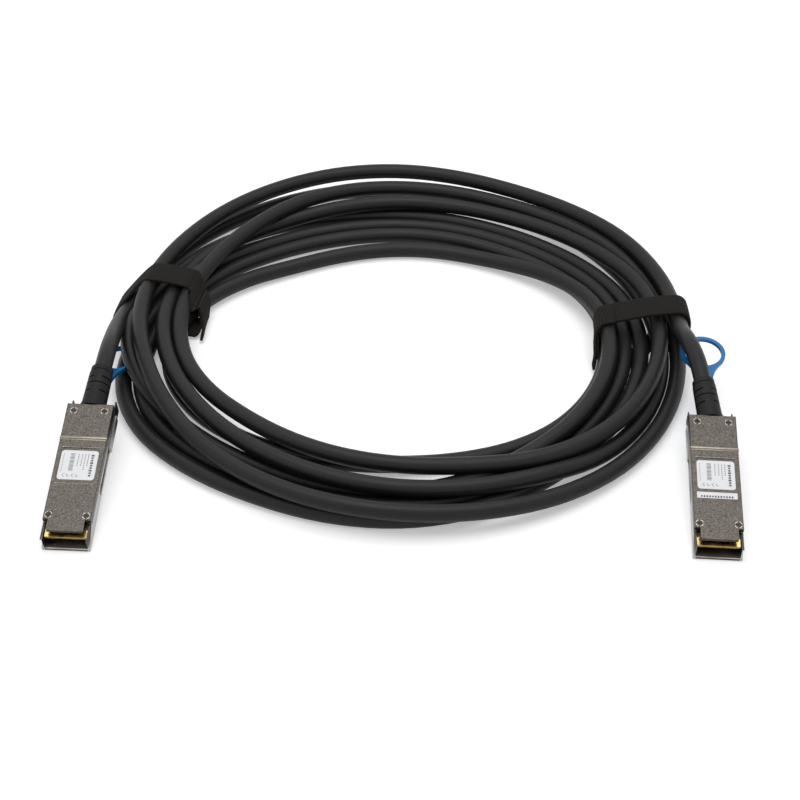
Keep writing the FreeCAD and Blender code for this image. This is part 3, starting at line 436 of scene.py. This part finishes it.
def tie_fabric():
    """Black ribbed weave, with a painted highlight on its rib tops, and paler along both edges."""
    mat = finish("Tie fabric", colours().tie, 2200, 200, 0.8, 0.95, 0.00004, 0.4,
                 Specular_IOR_Level=0.08, Sheen_Weight=0.02, Sheen_Roughness=0.5)
    tree = mat.node_tree
    link = tree.links.new
    shader = tree.nodes["Principled BSDF"]
    ribs = effect(tree, "ribs")
    ribs.inputs["Pitch"].default_value = sizes().rib_pitch
    crest_and_highlight = add(tree, "ShaderNodeMix", data_type="RGBA")
    hem = add(tree, "ShaderNodeMix", data_type="RGBA")
    # the pale colour on the rib tops is a painted highlight
    crest_and_highlight.inputs["B"].default_value = (0.030, 0.028, 0.026, 1)
    hem.inputs["B"].default_value = (0.020, 0.0175, 0.0145, 1)
    link(ribs.outputs["Crest highlight"], crest_and_highlight.inputs["Factor"])
    link(shader.inputs["Base Color"].links[0].from_socket, crest_and_highlight.inputs["A"])
    link(crest_and_highlight.outputs["Result"], hem.inputs["A"])
    link(ribs.outputs["Selvage"], hem.inputs["Factor"])
    link(hem.outputs["Result"], shader.inputs["Base Color"])
    link(ribs.outputs["Normal"], shader.inputs["Normal"])
    return mat


def tab_plastic():
    """Blue moulded plastic."""
    return finish("Blue moulding", colours().tab, 1200, 120, 0.3, 0.45, 0.00001, 0.15)


def label_paper():
    """White coated paper."""
    return finish("Label paper", colours().label, 2500, 200, 0.5, 0.65, 0.000004, 0.03)


def plain_finishes():
    """A material for each of the record's slots."""
    return {
        "shell_metal": shaded_housing_metal(), "bright_metal": bright_metal(), "card_green": card_mask(),
        "contact_gold": gold_plate(),
        "chip_black": finish("Chip moulding", (0.012, 0.012, 0.013), 1500, 200, 0.35, 0.5, 0.00001, 0.2),
        "mould_clear": finish("Hot melt", (0.62, 0.58, 0.42), 700, 90, 0.3, 0.5, 0.00002, 0.12,
                              Transmission_Weight=0.2),
        "wire_white": finish("Wire film", (0.72, 0.72, 0.70), 900, 120, 0.2, 0.35, 0.00001, 0.08),
        "ferrule_brass": finish("Brass", (0.62, 0.44, 0.18), 1500, 120, 0.25, 0.4, 0.00001, 0.12,
                                Metallic=1.0),
        "boot_black": boot_rubber(), "jacket_black": jacket_rubber(), "tab_blue": tab_plastic(),
        "label_white": label_paper(), "tie_black": tie_fabric(),
    }


MATERIALS = {}


def finish_of(slot):
    """The finished material of one slot."""
    if not MATERIALS:
        MATERIALS.update(plain_finishes())
    return MATERIALS[slot]


# ---- making pieces

def plug_frame(side):
    """A plug's own frame: x across, y back from the lip of the nose, z up from its feet."""
    mounts = {m["name"]: m for m in frame["record"]["mounts"]}
    mouth, roof = mounts[f"{side}_plug"], mounts[f"{side}_roof"]
    back, up = -Vector(mouth["axis"]).normalized(), Vector(roof["axis"]).normalized()
    place = Matrix((back.cross(up), back, up)).transposed().to_4x4()
    place.translation = Vector(mouth["pos_m"]) - up * MOUTH_HEIGHT
    return place


def block(bm, low, high, bevel=0.0):
    """A box between two corners, its edges cut by a bevel, all in millimetres."""
    low, high = (Vector([v * MM for v in corner]) for corner in (low, high))
    made = bmesh.ops.create_cube(bm, size=1.0)["verts"]
    bmesh.ops.scale(bm, vec=high - low, verts=made)
    if bevel:
        edges = list({e for v in made for e in v.link_edges})
        made = bmesh.ops.bevel(bm, geom=edges, offset=bevel * MM, segments=1, profile=0.5,
                               affect="EDGES", material=-1)["verts"]
    bmesh.ops.translate(bm, vec=(low + high) / 2, verts=made)


def block_pair(bm, across, back, up, bevel=0.0):
    """Two boxes, one each side of the plug's middle, from their spans in millimetres."""
    for way in (-1, 1):
        near, far = sorted(way * v for v in across)
        block(bm, (near, back[0], up[0]), (far, back[1], up[1]), bevel)


def grown_rim(bm, rim):
    """Extrude a rim of edges, and give the new rim and its points."""
    grown = bmesh.ops.extrude_edge_only(bm, edges=rim)["geom"]
    made = {v for v in grown if isinstance(v, bmesh.types.BMVert)}
    return [e for e in grown if isinstance(e, bmesh.types.BMEdge) and set(e.verts) <= made], list(made)


def piece(name, bm, slot, body="root", place=None, material=None, angle=35):
    """A finished mesh that rides on a body, with its place in its vertices."""
    bmesh.ops.recalc_face_normals(bm, faces=bm.faces)
    if place is not None:
        bmesh.ops.transform(bm, matrix=place, verts=bm.verts)
    mesh = bpy.data.meshes.new(name)
    bm.to_mesh(mesh)
    bm.free()
    mesh.materials.append(material or finish_of(slot))
    mesh.shade_smooth()
    mesh.set_sharp_from_angle(angle=math.radians(angle))
    obj = bpy.data.objects.new(name, mesh)
    bpy.context.scene.collection.objects.link(obj)
    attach(obj, body)
    return obj


# ---- the coil

def eased(x, places, values):
    """A smooth line through values that never swings past them."""
    gap = np.diff(places)
    slope = np.diff(values) / gap
    lean = np.zeros_like(values)
    both = slope[:-1] * slope[1:]
    lean[1:-1] = np.where(both > 0, 2 * both / (slope[:-1] + slope[1:] + 1e-12), 0)
    i = np.clip(np.searchsorted(places, x) - 1, 0, len(gap) - 1)
    t = (x - places[i]) / gap[i]
    return (values[i] * (1 + 2 * t) * (1 - t) ** 2 + values[i + 1] * t * t * (3 - 2 * t)
            + gap[i] * (lean[i] * t * (1 - t) ** 2 - lean[i + 1] * t * t * (1 - t)))


def near_angle(angle, centre, reach):
    """1 at an angle round the coil, falling to 0 a reach away from it."""
    return np.clip(1 - np.abs((angle - centre + 180) % 360 - 180) / reach, 0, 1)


def settled_coil():
    """Angle, radius and height of points along the turns, lying a diameter apart, in millimetres."""
    diameter = sizes().diameter / MM
    places = [(STATIONS[0] - station + 360 * turn, *place)
              for turn, row in enumerate(TURNS) for station, place in zip(STATIONS, row)]
    places += [((STATIONS[0] - angle) % 360 + 360 * turn, radius, height)
               for turn, angle, radius, height in CROSSINGS]
    wound, radii, heights = np.array(sorted(places), float).T
    run = np.arange(0, wound[-1], 360 / POINTS_A_TURN)
    angle = STATIONS[0] - run
    radius, height = eased(run, wound, radii), eased(run, wound, heights)
    wanted_radius, wanted_height = radius.copy(), height.copy()
    under_tie = sum(near_angle(angle, tie["angle"], TIE_REACH) * TIE_RAMP for tie in TIES.values())
    ground = diameter / 2 + (sizes().tie_sheet / MM + OFF_TABLE) * np.clip(under_tie, 0, 1)
    for _ in range(SETTLE_STEPS):
        height -= SAG
        radius += PULL * (wanted_radius - radius)
        height += PULL * (np.maximum(wanted_height, ground) - height)
        for turns_apart in range(1, len(TURNS)):
            skip = turns_apart * POINTS_A_TURN
            if skip >= len(run):
                break
            inner, outer = slice(0, len(run) - skip), slice(skip, len(run))
            across, rise = radius[outer] - radius[inner], height[outer] - height[inner]
            gap = np.hypot(across, rise) + 1e-9
            push = PART * np.maximum(0, diameter - gap) / gap
            radius[inner] -= push * across
            radius[outer] += push * across
            height[inner] -= push * rise
            height[outer] += push * rise
        for values in (radius, height):
            values[1:-1] += EASE * ((values[:-2] + values[2:]) / 2 - values[1:-1])
        height = np.maximum(height, ground)
    return angle, radius, height


def strands_at(angle):
    """Radius and height of each turn where it passes an angle, in metres."""
    angles, radius, height = settled_coil()
    passes = [STATIONS[0] - angle + 360 * k for k in range(-1, len(TURNS) + 1)]
    run = STATIONS[0] - angles
    return [(np.interp(p, run, radius) * MM, np.interp(p, run, height) * MM)
            for p in passes if 0 <= p <= run[-1]]


def round_coil(angle, radius, height):
    """A point at an angle in degrees round the coil's middle, in metres."""
    turn = math.radians(angle)
    return COIL_MIDDLE + Vector((radius * math.cos(turn), radius * math.sin(turn), height))


class COPPERCABLE_OT_lay_cable(bpy.types.Operator):
    """Lay the whole cable on one smooth line, from the left boot round the coil to the right boot"""
    bl_idname = "copper_cable.lay_cable"
    bl_label = "Lay Cable"

    def execute(self, context):
        # the curve runs inside its points by this share
        swell = 1 / (0.75 + 0.25 * math.cos(2 * math.pi / POINTS_A_TURN))
        turns = [round_coil(a, r * MM * swell, h * MM) for a, r, h in zip(*settled_coil())]
        points = [Vector(p) for p in LEFT_LEAD] + turns + [Vector(p) for p in reversed(RIGHT_LEAD)]
        curve = bpy.data.curves.new("copper_cable", "CURVE")
        curve.dimensions = "3D"
        curve.bevel_depth = sizes().diameter / 2
        curve.bevel_resolution = 6
        curve.resolution_u = 5
        curve.use_fill_caps = True
        spline = curve.splines.new("NURBS")
        spline.points.add(len(points) - 1)
        for place, point in zip(spline.points, points):
            place.co = (*point, 1)
        spline.order_u = 3
        spline.use_endpoint_u = True
        spline.use_smooth = True
        curve.materials.append(finish_of("jacket_black"))
        cable = bpy.data.objects.new("copper_cable", curve)
        context.scene.collection.objects.link(cable)
        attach(cable, "root")
        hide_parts("cable_coil", "left_lead", "right_lead")
        return {"FINISHED"}


# ---- ties

def tie_path(tie, clearance):
    """The closed outline, as radius and height, drawn tight round the strands under a tie."""
    bm = bmesh.new()
    for radius, height in (*strands_at(tie["angle"]), *tie["beside"]):
        bmesh.ops.create_circle(bm, segments=32, radius=sizes().diameter / 2 + clearance,
                                matrix=Matrix.Translation((radius, height, 0)))
    points = sorted({(round(v.co.x, 7), round(v.co.y, 7)) for v in bm.verts})
    bm.free()
    hull = []
    for way in (points, points[::-1]):
        chain = []
        for p in way:
            while len(chain) > 1 and ((chain[-1][0] - chain[-2][0]) * (p[1] - chain[-2][1])
                                      - (chain[-1][1] - chain[-2][1]) * (p[0] - chain[-2][0])) <= 0:
                chain.pop()
            chain.append(p)
        hull += chain[:-1]
    return np.array(hull)


def even_path(path, count, closed=True):
    """A path's points spaced evenly, with the distance along it."""
    ends = np.vstack([path, path[:1]]) if closed else path
    run = np.concatenate([[0], np.cumsum(np.hypot(*np.diff(ends, axis=0).T))])
    steps = np.linspace(0, run[-1], count, endpoint=not closed)
    return np.stack([np.interp(steps, run, ends[:, k]) for k in (0, 1)], axis=1), steps


def softened(path, rounds=6):
    """A closed path with its corners eased."""
    for _ in range(rounds):
        path = 0.5 * path + 0.25 * (np.roll(path, 1, axis=0) + np.roll(path, -1, axis=0))
    return path


def band(path, steps, closed, tie, crown):
    """A strip of fabric along a path, bent round the coil and slid forward down its sides."""
    bm = bmesh.new()
    along = bm.verts.layers.float.new("along")
    across = bm.verts.layers.float.new("across")
    chain = []
    for (radius, height), step in zip(path, steps):
        vert = bm.verts.new((radius, -0.5, height))
        vert[along] = step
        chain.append(vert)
    pairs = list(zip(chain, chain[1:] + chain[:1])) if closed else list(zip(chain, chain[1:]))
    rim = [bm.edges.new(pair) for pair in pairs]
    for _ in range(ACROSS_TIE):
        rim, made = grown_rim(bm, rim)
        bmesh.ops.translate(bm, vec=(0, 1 / ACROSS_TIE, 0), verts=made)
    for vert in bm.verts:
        vert[across] = vert.co.y * 2
        vert.co.y *= sizes().tie_width
    bmesh.ops.recalc_face_normals(bm, faces=bm.faces)
    middle = float(path[:, 0].mean())
    for vert in bm.verts:
        radius, aside, height = vert.co
        inside = radius < middle
        fall = max(0.0, 1 - height / crown) ** (1.3 if inside else tie["curve"])
        lag = (tie["inner_slide"] if inside else tie["outer_slide"]) * MM * fall
        radius += 0 if inside else tie["outer_flare"] * MM * fall
        turn = tie["angle"] + math.degrees(tie["forward"] * (aside + lag) / radius)
        vert.co = round_coil(turn, radius, height)
    return bm


def fabric_piece(name, bm):
    """Give a strip its thickness and finish."""
    obj = piece(name, bm, "tie_black", angle=60)
    solid = obj.modifiers.new("thickness", "SOLIDIFY")
    solid.thickness = sizes().tie_sheet
    solid.offset = 1.0
    solid.use_even_offset = True
    bevel = obj.modifiers.new("edge", "BEVEL")
    bevel.width = 0.0003
    bevel.segments = 2
    bevel.limit_method = "ANGLE"
    return obj


class COPPERCABLE_OT_wrap_ties(bpy.types.Operator):
    """Wrap a woven tie round the bundle on each side"""
    bl_idname = "copper_cable.wrap_ties"
    bl_label = "Wrap Ties"

    def execute(self, context):
        for side, tie in TIES.items():
            path, steps = even_path(tie_path(tie, TIE_CLEARANCE), TIE_POINTS)
            path = softened(path)
            low, high = path[:, 0].min(), path[:, 0].max()
            swell = np.sin(math.pi * (path[:, 0] - low) / (high - low))
            crown = float(path[:, 1].max())
            path[:, 1] += tie["swell"] * MM * swell * np.clip(path[:, 1] / crown, 0, 1) ** 2
            path[:, 1] = np.maximum(path[:, 1], sizes().tie_sheet + OFF_TABLE * MM)
            loop = fabric_piece(f"{side}_tie", band(path, steps, True, tie, crown))
            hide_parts(f"{side}_strap")
            self.tail(side, tie, path, crown)
        return {"FINISHED"}

    def tail(self, side, tie, path, crown):
        """The free end of the strap, lying over its inner side down to the table."""
        inside = path[path[:, 0] < path[:, 0].min() + 9 * MM]
        inside = inside[inside[:, 1] > 0.25 * crown]
        order = inside[np.argsort(-inside[:, 1])]
        out = order + np.array([-1, 0.6]) * sizes().tie_sheet
        foot = out[-1]
        out = np.vstack([out, [foot[0] - 0.3 * MM, 3.2 * MM], [foot[0] + 0.6 * MM, 1.4 * MM]])
        line, steps = even_path(out, TAIL_POINTS, closed=False)
        past = dict(tie, angle=tie["angle"] + tie["forward"] * TAIL_TURN)
        fabric_piece(f"{side}_tie_tail", band(line, steps, False, past, crown))


# ---- finishes on the solids

class COPPERCABLE_OT_finish_solids(bpy.types.Operator):
    """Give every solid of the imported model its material"""
    bl_idname = "copper_cable.finish_solids"
    bl_label = "Finish Solids"

    def execute(self, context):
        special = {"lower_shell": reflection_lit_tray_metal(), "cover_screws": screw_metal(), "latch_slider": screw_metal()}
        for part in frame["record"]["subparts"]:
            node = frame["nodes"][part["node"]]
            kind = part["node"].split("_", 1)[1]
            for slot in node.material_slots:
                slot.link = "OBJECT"
                slot.material = special.get(kind) or finish_of(part["material_slot"])
        return {"FINISHED"}


# ---- details of the plugs

def bar_arc(bm, centre, radius, width, low, high, start, sweep, steps=6):
    """A short bar bent round an upright axis, in millimetres and degrees."""
    turn = math.radians(start)
    near, far = radius - width / 2, radius + width / 2
    places = [(centre[0] + r * math.cos(turn), centre[1] + r * math.sin(turn), z)
              for r, z in ((near, low), (far, low), (far, high), (near, high))]
    verts = [bm.verts.new([v * MM for v in place]) for place in places]
    face = bm.faces.new(verts)
    bmesh.ops.spin(bm, geom=[face, *face.edges, *verts], cent=(centre[0] * MM, centre[1] * MM, 0),
                   axis=(0, 0, 1), angle=math.radians(sweep), steps=steps)


class COPPERCABLE_OT_fit_collars(bpy.types.Operator):
    """The rounded spring collar round each housing, with a thin line before it"""
    bl_idname = "copper_cable.fit_collars"
    bl_label = "Fit Collars"

    def execute(self, context):
        metal = collar_metal()
        for side in SIDES:
            bm = bmesh.new()
            bmesh.ops.create_grid(bm, x_segments=1, y_segments=1, size=1.0)
            bmesh.ops.scale(bm, vec=(PLUG_HALF, ROOF / 2, 1), verts=bm.verts)
            bmesh.ops.bevel(bm, geom=list(bm.verts), offset=COLLAR_BEVEL * MM, segments=4, profile=0.5,
                            affect="VERTICES", material=-1)
            bmesh.ops.rotate(bm, cent=(0, 0, 0), matrix=Matrix.Rotation(math.pi / 2, 3, "X"), verts=bm.verts)
            first = [e for e in bm.edges if e.is_boundary]
            bmesh.ops.delete(bm, geom=list(bm.faces), context="FACES_ONLY")
            self.swell(bm, list(bm.verts), 0.0, COLLAR_FOOT)
            rim, size, back = first, COLLAR_FOOT, 0.0
            for step, out in COLLAR:
                rim, made = grown_rim(bm, rim)
                bmesh.ops.translate(bm, vec=(0, (step - back) * MM, 0), verts=made)
                self.swell(bm, made, size, out)
                size, back = out, step
            bmesh.ops.bridge_loops(bm, edges=first + rim)
            bmesh.ops.translate(bm, vec=(0, COLLAR_BACK * MM, ROOF / 2), verts=bm.verts)
            collar = piece(f"{side}_collar", bm, "bright_metal", place=plug_frame(side), material=metal,
                           angle=30)
            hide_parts(f"{side}_emi_gasket")
        return {"FINISHED"}

    def swell(self, bm, verts, size, out):
        """Grow a rim from one stand-off to another."""
        half = ROOF / 2
        grow = ((PLUG_HALF + out * MM) / (PLUG_HALF + size * MM), 1, (half + out * MM) / (half + size * MM))
        bmesh.ops.scale(bm, vec=grow, verts=verts)


class COPPERCABLE_OT_line_noses(bpy.types.Operator):
    """The gold of each card, painted shade behind it, a dark lining painted as the shade inside each nose,
    and small rings in each nose
    """
    bl_idname = "copper_cable.line_noses"
    bl_label = "Line Noses"

    def execute(self, context):
        shade_film = nose_shade_film()
        for side in SIDES:
            place = plug_frame(side)
            bm = bmesh.new()
            for low, high in CARD_FACES:
                block(bm, (-7.95, 2.62, low), (7.95, 4.9, high), 0.02)
                for k in range(FINGERS):
                    across = -7.2 + FINGER_PITCH * k
                    block(bm, (across - FINGER_HALF, 4.8, low), (across + FINGER_HALF, 7.6, high), 0.02)
                block_pair(bm, (7.1, 8.0), (4.8, 8.1), (low, high), 0.02)
            block(bm, (-7.95, 2.58, 4.2), (7.95, 2.68, 5.2), 0.02)
            fingers = piece(f"{side}_gold_fingers", bm, "contact_gold", place=place)
            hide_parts(f"{side}_contact_pads")
            bm = bmesh.new()
            for k in range(6):
                across = -6.0 + 2.4 * k
                block(bm, (across - 0.3, 5.0, 5.2), (across + 0.3, 7.8, 5.3))
            block(bm, (-7.0, 6.3, 5.2), (7.0, 8.3, 5.31))
            piece(f"{side}_finger_shade", bm, "chip_black", place=place)
            # dark sheets over the nose's floor, front, inner walls and wall tops: painted shade
            bm = bmesh.new()
            block(bm, (-8.2, 0.35, 1.28), (8.2, 11.0, 1.36))
            block(bm, (-8.2, -0.01, 0.1), (8.2, 0.03, 1.05))
            block_pair(bm, (8.26, 8.34), (0.3, 8.4), (1.3, 6.3))
            block_pair(bm, (8.36, 9.1), (0.5, 8.3), (6.38, 6.43))
            piece(f"{side}_nose_shade_film", bm, "chip_black", place=place, material=shade_film)
            bm = bmesh.new()
            for across, back in ((-5.6, 3.4), (-4.2, 1.6), (5.2, 2.2), (1.2, 2.8)):
                bar_arc(bm, (across, back), 0.16, 0.14, 1.3, 1.42, 0, 330, 8)
            piece(f"{side}_nose_rivets", bm, "bright_metal", place=place)
        return {"FINISHED"}


class COPPERCABLE_OT_ring_screws(bpy.types.Operator):
    """The bright, broken rims round the screws"""
    bl_idname = "copper_cable.ring_screws"
    bl_label = "Ring Screws"

    def execute(self, context):
        roof = ROOF / MM
        for side in SIDES:
            bm = bmesh.new()
            for across, back in SCREWS:
                for quarter in range(4):
                    bar_arc(bm, (across, back), 1.36, 0.15, roof - 0.25, roof + 0.05, 90 * quarter + 14, 60)
            piece(f"{side}_screw_rims", bm, "bright_metal", place=plug_frame(side), angle=30)
        return {"FINISHED"}


class COPPERCABLE_OT_print_labels(bpy.types.Operator):
    """Plain bars, dashes and a field of stripes on the labels, and bright corners round their recess"""
    bl_idname = "copper_cable.print_labels"
    bl_label = "Print Labels"

    def execute(self, context):
        ink = label_ink()
        top = LABEL_TOP
        for side in SIDES:
            place = plug_frame(side)
            bm = bmesh.new()
            for k in range(9):
                self.mark(bm, (5.15, 37.6 - 1.15 * k), (0.85 if k % 3 else 1.15, 0.75), top)
            columns = ((3.5, 6, 0.55), (2.3, 8, 0.45), (1.1, 6, 0.5), (-0.3, 6, 0.5), (-6.1, 9, 0.35))
            for column, (across, marks, long) in enumerate(columns):
                for k in range(marks):
                    self.mark(bm, (across, 37.9 - 0.95 * k - 0.1 * (column % 2)), (0.32, long), top)
            for k in range(14):
                wide = 0.34 if k % 3 else 0.5
                self.mark(bm, (-2.6, 38.1 - 0.58 * k), (1.7, wide * 0.62), top)
            for across, back in ((-1.1, 28.3), (-4.6, 28.3)):
                bar_arc(bm, (across, back), 0.62, 0.16, top - 0.01, top + 0.02, 70, 220)
                bar_arc(bm, (across + 1.5, back), 0.5, 0.16, top - 0.01, top + 0.02, 110, 220)
            piece(f"{side}_label_print", bm, "chip_black", place=place, material=ink)
            bm = bmesh.new()
            for back in (24.6, 41.2):
                block_pair(bm, (6.6, 7.6), (back - 0.07, back + 0.07), (8.46, 8.53), 0.03)
            block(bm, (-6.6, 24.55, 8.47), (6.6, 24.63, 8.52), 0.02)
            block(bm, (-6.6, 41.2, 8.47), (6.6, 41.27, 8.52), 0.02)
            piece(f"{side}_recess_edges", bm, "bright_metal", place=place)
        bm = bmesh.new()
        for k in range(12):
            self.mark(bm, (-5.9 + 1.05 * k, 22.8), (0.62, 0.9 if k % 4 else 0.7), roof_strip_top())
        piece("right_strip_print", bm, "chip_black", place=plug_frame("right"), material=ink)
        return {"FINISHED"}

    def mark(self, bm, middle, size, top):
        """One plain bar of ink."""
        block(bm, (middle[0] - size[0] / 2, middle[1] - size[1] / 2, top - 0.01),
              (middle[0] + size[0] / 2, middle[1] + size[1] / 2, top + 0.02))


def roof_strip_top():
    """The height of the right plug's paper strip over its feet, in millimetres."""
    strip = frame["nodes"]["right_origin_strip"]
    into = plug_frame("right").inverted()
    return max((into @ (strip.matrix_world @ v.co)).z for v in strip.data.vertices) / MM


class COPPERCABLE_OT_coil_springs(bpy.types.Operator):
    """The return springs, wound wires at rest; the real ones shorten as the latch is pulled"""
    bl_idname = "copper_cable.coil_springs"
    bl_label = "Coil Springs"

    def execute(self, context):
        for side in SIDES:
            place = plug_frame(side)
            bm = bmesh.new()
            for way in (-1, 1):
                self.wind(bm, way * SPRING_ACROSS)
            spring = piece(f"{side}_wound_springs", bm, "bright_metal", place=place)
            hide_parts(f"{side}_return_springs")
            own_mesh(spring)
        return {"FINISHED"}

    def wind(self, bm, across):
        """One spring, a wire wound from front to back and closed at both ends."""
        count = sizes().spring_turns * WIRE_STEPS
        start = Vector((across + SPRING_RADIUS, SPRING_FRONT, SPRING_HEIGHT)) * MM
        place = Matrix.Translation(start) @ Matrix.Rotation(math.pi / 2, 4, "Z")
        section = bmesh.ops.create_circle(bm, cap_ends=True, segments=WIRE_SIDES, radius=WIRE_RADIUS * MM,
                                          matrix=place)["verts"]
        edges = {e for v in section for e in v.link_edges}
        bmesh.ops.spin(bm, geom=[section[0].link_faces[0], *edges, *section],
                       cent=Vector((across, 0, SPRING_HEIGHT)) * MM, axis=(0, -1, 0),
                       dvec=(0, (SPRING_BACK - SPRING_FRONT) * MM / count, 0),
                       angle=2 * math.pi * sizes().spring_turns, steps=count)


class COPPERCABLE_OT_shape_tabs(bpy.types.Operator):
    """The pull tabs, the left one moved aside and narrowed towards its ring"""
    bl_idname = "copper_cable.shape_tabs"
    bl_label = "Shape Tabs"

    def execute(self, context):
        for side in SIDES:
            tab = frame["nodes"][f"{side}_pull_tab"]
            place = plug_frame(side)
            into = place.inverted() @ tab.matrix_world
            bm = bmesh.new()
            bm.from_mesh(tab.data)
            bmesh.ops.transform(bm, matrix=into, verts=bm.verts)
            bmesh.ops.remove_doubles(bm, verts=bm.verts, dist=0.001 * MM)
            aside, pinch, lean = TAB_LIE[side]
            for vert in bm.verts:
                share = min(1.0, max(0.0, (vert.co.y / MM - TAB_ROOT) / TAB_BEND))
                share *= share * (3 - 2 * share)
                off = (vert.co.x - TAB_MIDDLE * MM) * (1 - pinch * share)
                vert.co.x = TAB_MIDDLE * MM + off - (lean + aside * share) * MM
            blue = piece(f"{side}_blue_tab", bm, "tab_blue", body=f"{side}_latch", place=place)
            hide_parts(f"{side}_pull_tab")
        return {"FINISHED"}


# ---- stage

class COPPERCABLE_OT_set_stage(bpy.types.Operator):
    """A white table, soft lamps and the camera"""
    bl_idname = "copper_cable.set_stage"
    bl_label = "Set Stage"

    def execute(self, context):
        scene = context.scene
        scene.view_settings.view_transform = "Standard"
        self.world(scene)
        self.floor(scene)
        for name, values in LAMPS.items():
            self.lamp(scene, name, *values)
        data = bpy.data.cameras.new("view")
        data.lens, data.sensor_width = CAMERA_LENS, 36.0
        data.clip_start, data.clip_end = 0.01, 20
        camera = bpy.data.objects.new("view", data)
        camera.location = CAMERA_PLACE
        camera.rotation_euler = (math.radians(CAMERA_TILT), 0, 0)
        scene.collection.objects.link(camera)
        scene.camera = camera
        return {"FINISHED"}

    def seen_white(self, tree):
        """1 for rays from the camera, mirrors and glass."""
        path = tree.nodes.new("ShaderNodeLightPath")
        most = add(tree, "ShaderNodeMath", operation="MAXIMUM")
        all_rays = add(tree, "ShaderNodeMath", operation="MAXIMUM")
        tree.links.new(path.outputs["Is Camera Ray"], most.inputs[0])
        tree.links.new(path.outputs["Is Glossy Ray"], most.inputs[1])
        tree.links.new(most.outputs[0], all_rays.inputs[0])
        tree.links.new(path.outputs["Is Transmission Ray"], all_rays.inputs[1])
        return all_rays.outputs[0]

    def world(self, scene):
        """Dim white surroundings that are seen as full white."""
        world = bpy.data.worlds.new("studio")
        world.use_nodes = True
        tree = world.node_tree
        dim = tree.nodes["Background"]
        dim.inputs["Color"].default_value = (1, 1, 1, 1)
        dim.inputs["Strength"].default_value = 0.5
        white = add(tree, "ShaderNodeBackground", {"Color": (1, 1, 1, 1), "Strength": 1.0})
        mix = tree.nodes.new("ShaderNodeMixShader")
        tree.links.new(self.seen_white(tree), mix.inputs["Fac"])
        tree.links.new(dim.outputs[0], mix.inputs[1])
        tree.links.new(white.outputs[0], mix.inputs[2])
        tree.links.new(mix.outputs[0], tree.nodes["World Output"].inputs["Surface"])
        scene.world = world

    def floor(self, scene):
        """A white table that glows a little where it is seen."""
        bm = bmesh.new()
        bmesh.ops.create_grid(bm, x_segments=1, y_segments=1, size=6.0)
        mesh = bpy.data.meshes.new("floor")
        bm.to_mesh(mesh)
        bm.free()
        mat = bpy.data.materials.new("White table")
        mat.use_nodes = True
        tree = mat.node_tree
        shader = tree.nodes["Principled BSDF"]
        shader.inputs["Base Color"].default_value = (0.82, 0.82, 0.82, 1)
        shader.inputs["Roughness"].default_value = 0.9
        shader.inputs["Specular IOR Level"].default_value = 0.1
        glow = add(tree, "ShaderNodeEmission", {"Color": (1, 1, 1, 1)})
        share = add(tree, "ShaderNodeMath", {1: 0.35}, operation="MULTIPLY")
        both = tree.nodes.new("ShaderNodeAddShader")
        tree.links.new(self.seen_white(tree), share.inputs[0])
        tree.links.new(share.outputs[0], glow.inputs["Strength"])
        tree.links.new(shader.outputs[0], both.inputs[0])
        tree.links.new(glow.outputs[0], both.inputs[1])
        tree.links.new(both.outputs[0], tree.nodes["Material Output"].inputs["Surface"])
        mesh.materials.append(mat)
        table = bpy.data.objects.new("floor", mesh)
        scene.collection.objects.link(table)

    def lamp(self, scene, name, place, aim, size, power):
        """A square lamp turned towards a point."""
        light = bpy.data.lights.new(name, "AREA")
        light.shape = "SQUARE"
        light.size = size
        light.energy = power
        lamp = bpy.data.objects.new(name, light)
        lamp.location = place
        lamp.rotation_euler = (Vector(aim) - Vector(place)).to_track_quat("-Z", "Y").to_euler()
        scene.collection.objects.link(lamp)


# ---- a step that does nothing

class COPPERCABLE_OT_declare_cable(bpy.types.Operator):
    """A step that does nothing"""
    bl_idname = "copper_cable.declare_cable"
    bl_label = "Declare Cable"

    def execute(self, context):
        return {"FINISHED"}


STEPS = (
    COPPERCABLE_OT_finish_solids,
    COPPERCABLE_OT_lay_cable,
    COPPERCABLE_OT_wrap_ties,
    COPPERCABLE_OT_declare_cable,
    COPPERCABLE_OT_fit_collars,
    COPPERCABLE_OT_line_noses,
    COPPERCABLE_OT_ring_screws,
    COPPERCABLE_OT_print_labels,
    COPPERCABLE_OT_coil_springs,
    COPPERCABLE_OT_shape_tabs,
    COPPERCABLE_OT_set_stage,
)


class COPPERCABLE_PT_sidebar(bpy.types.Panel):
    """Buttons for each step, and the sizes and colours"""
    bl_idname = "COPPERCABLE_PT_sidebar"
    bl_label = "Copper Cable"
    bl_space_type = "VIEW_3D"
    bl_region_type = "UI"
    bl_category = "Copper Cable"

    def draw(self, context):
        for step in STEPS:
            self.layout.operator(step.bl_idname)
        for group in (context.scene.cable_sizes, context.scene.cable_colours):
            for name in group.__annotations__:
                self.layout.prop(group, name)


CLASSES = (CableSizes, CableColours, *STEPS, COPPERCABLE_PT_sidebar)


def register():
    """Add the classes and their settings."""
    for cls in CLASSES:
        bpy.utils.register_class(cls)
    bpy.types.Scene.cable_sizes = PointerProperty(type=CableSizes)
    bpy.types.Scene.cable_colours = PointerProperty(type=CableColours)


def unregister():
    """Take the classes and their settings away."""
    del bpy.types.Scene.cable_colours
    del bpy.types.Scene.cable_sizes
    for cls in reversed(CLASSES):
        bpy.utils.unregister_class(cls)


def main():
    """Build everything in order."""
    register()
    for step in STEPS:
        space, name = step.bl_idname.split(".")
        if getattr(getattr(bpy.ops, space), name)() != {"FINISHED"}:
            raise RuntimeError(f"{step.bl_label} did not finish")


if __name__ == "__main__":
    main()
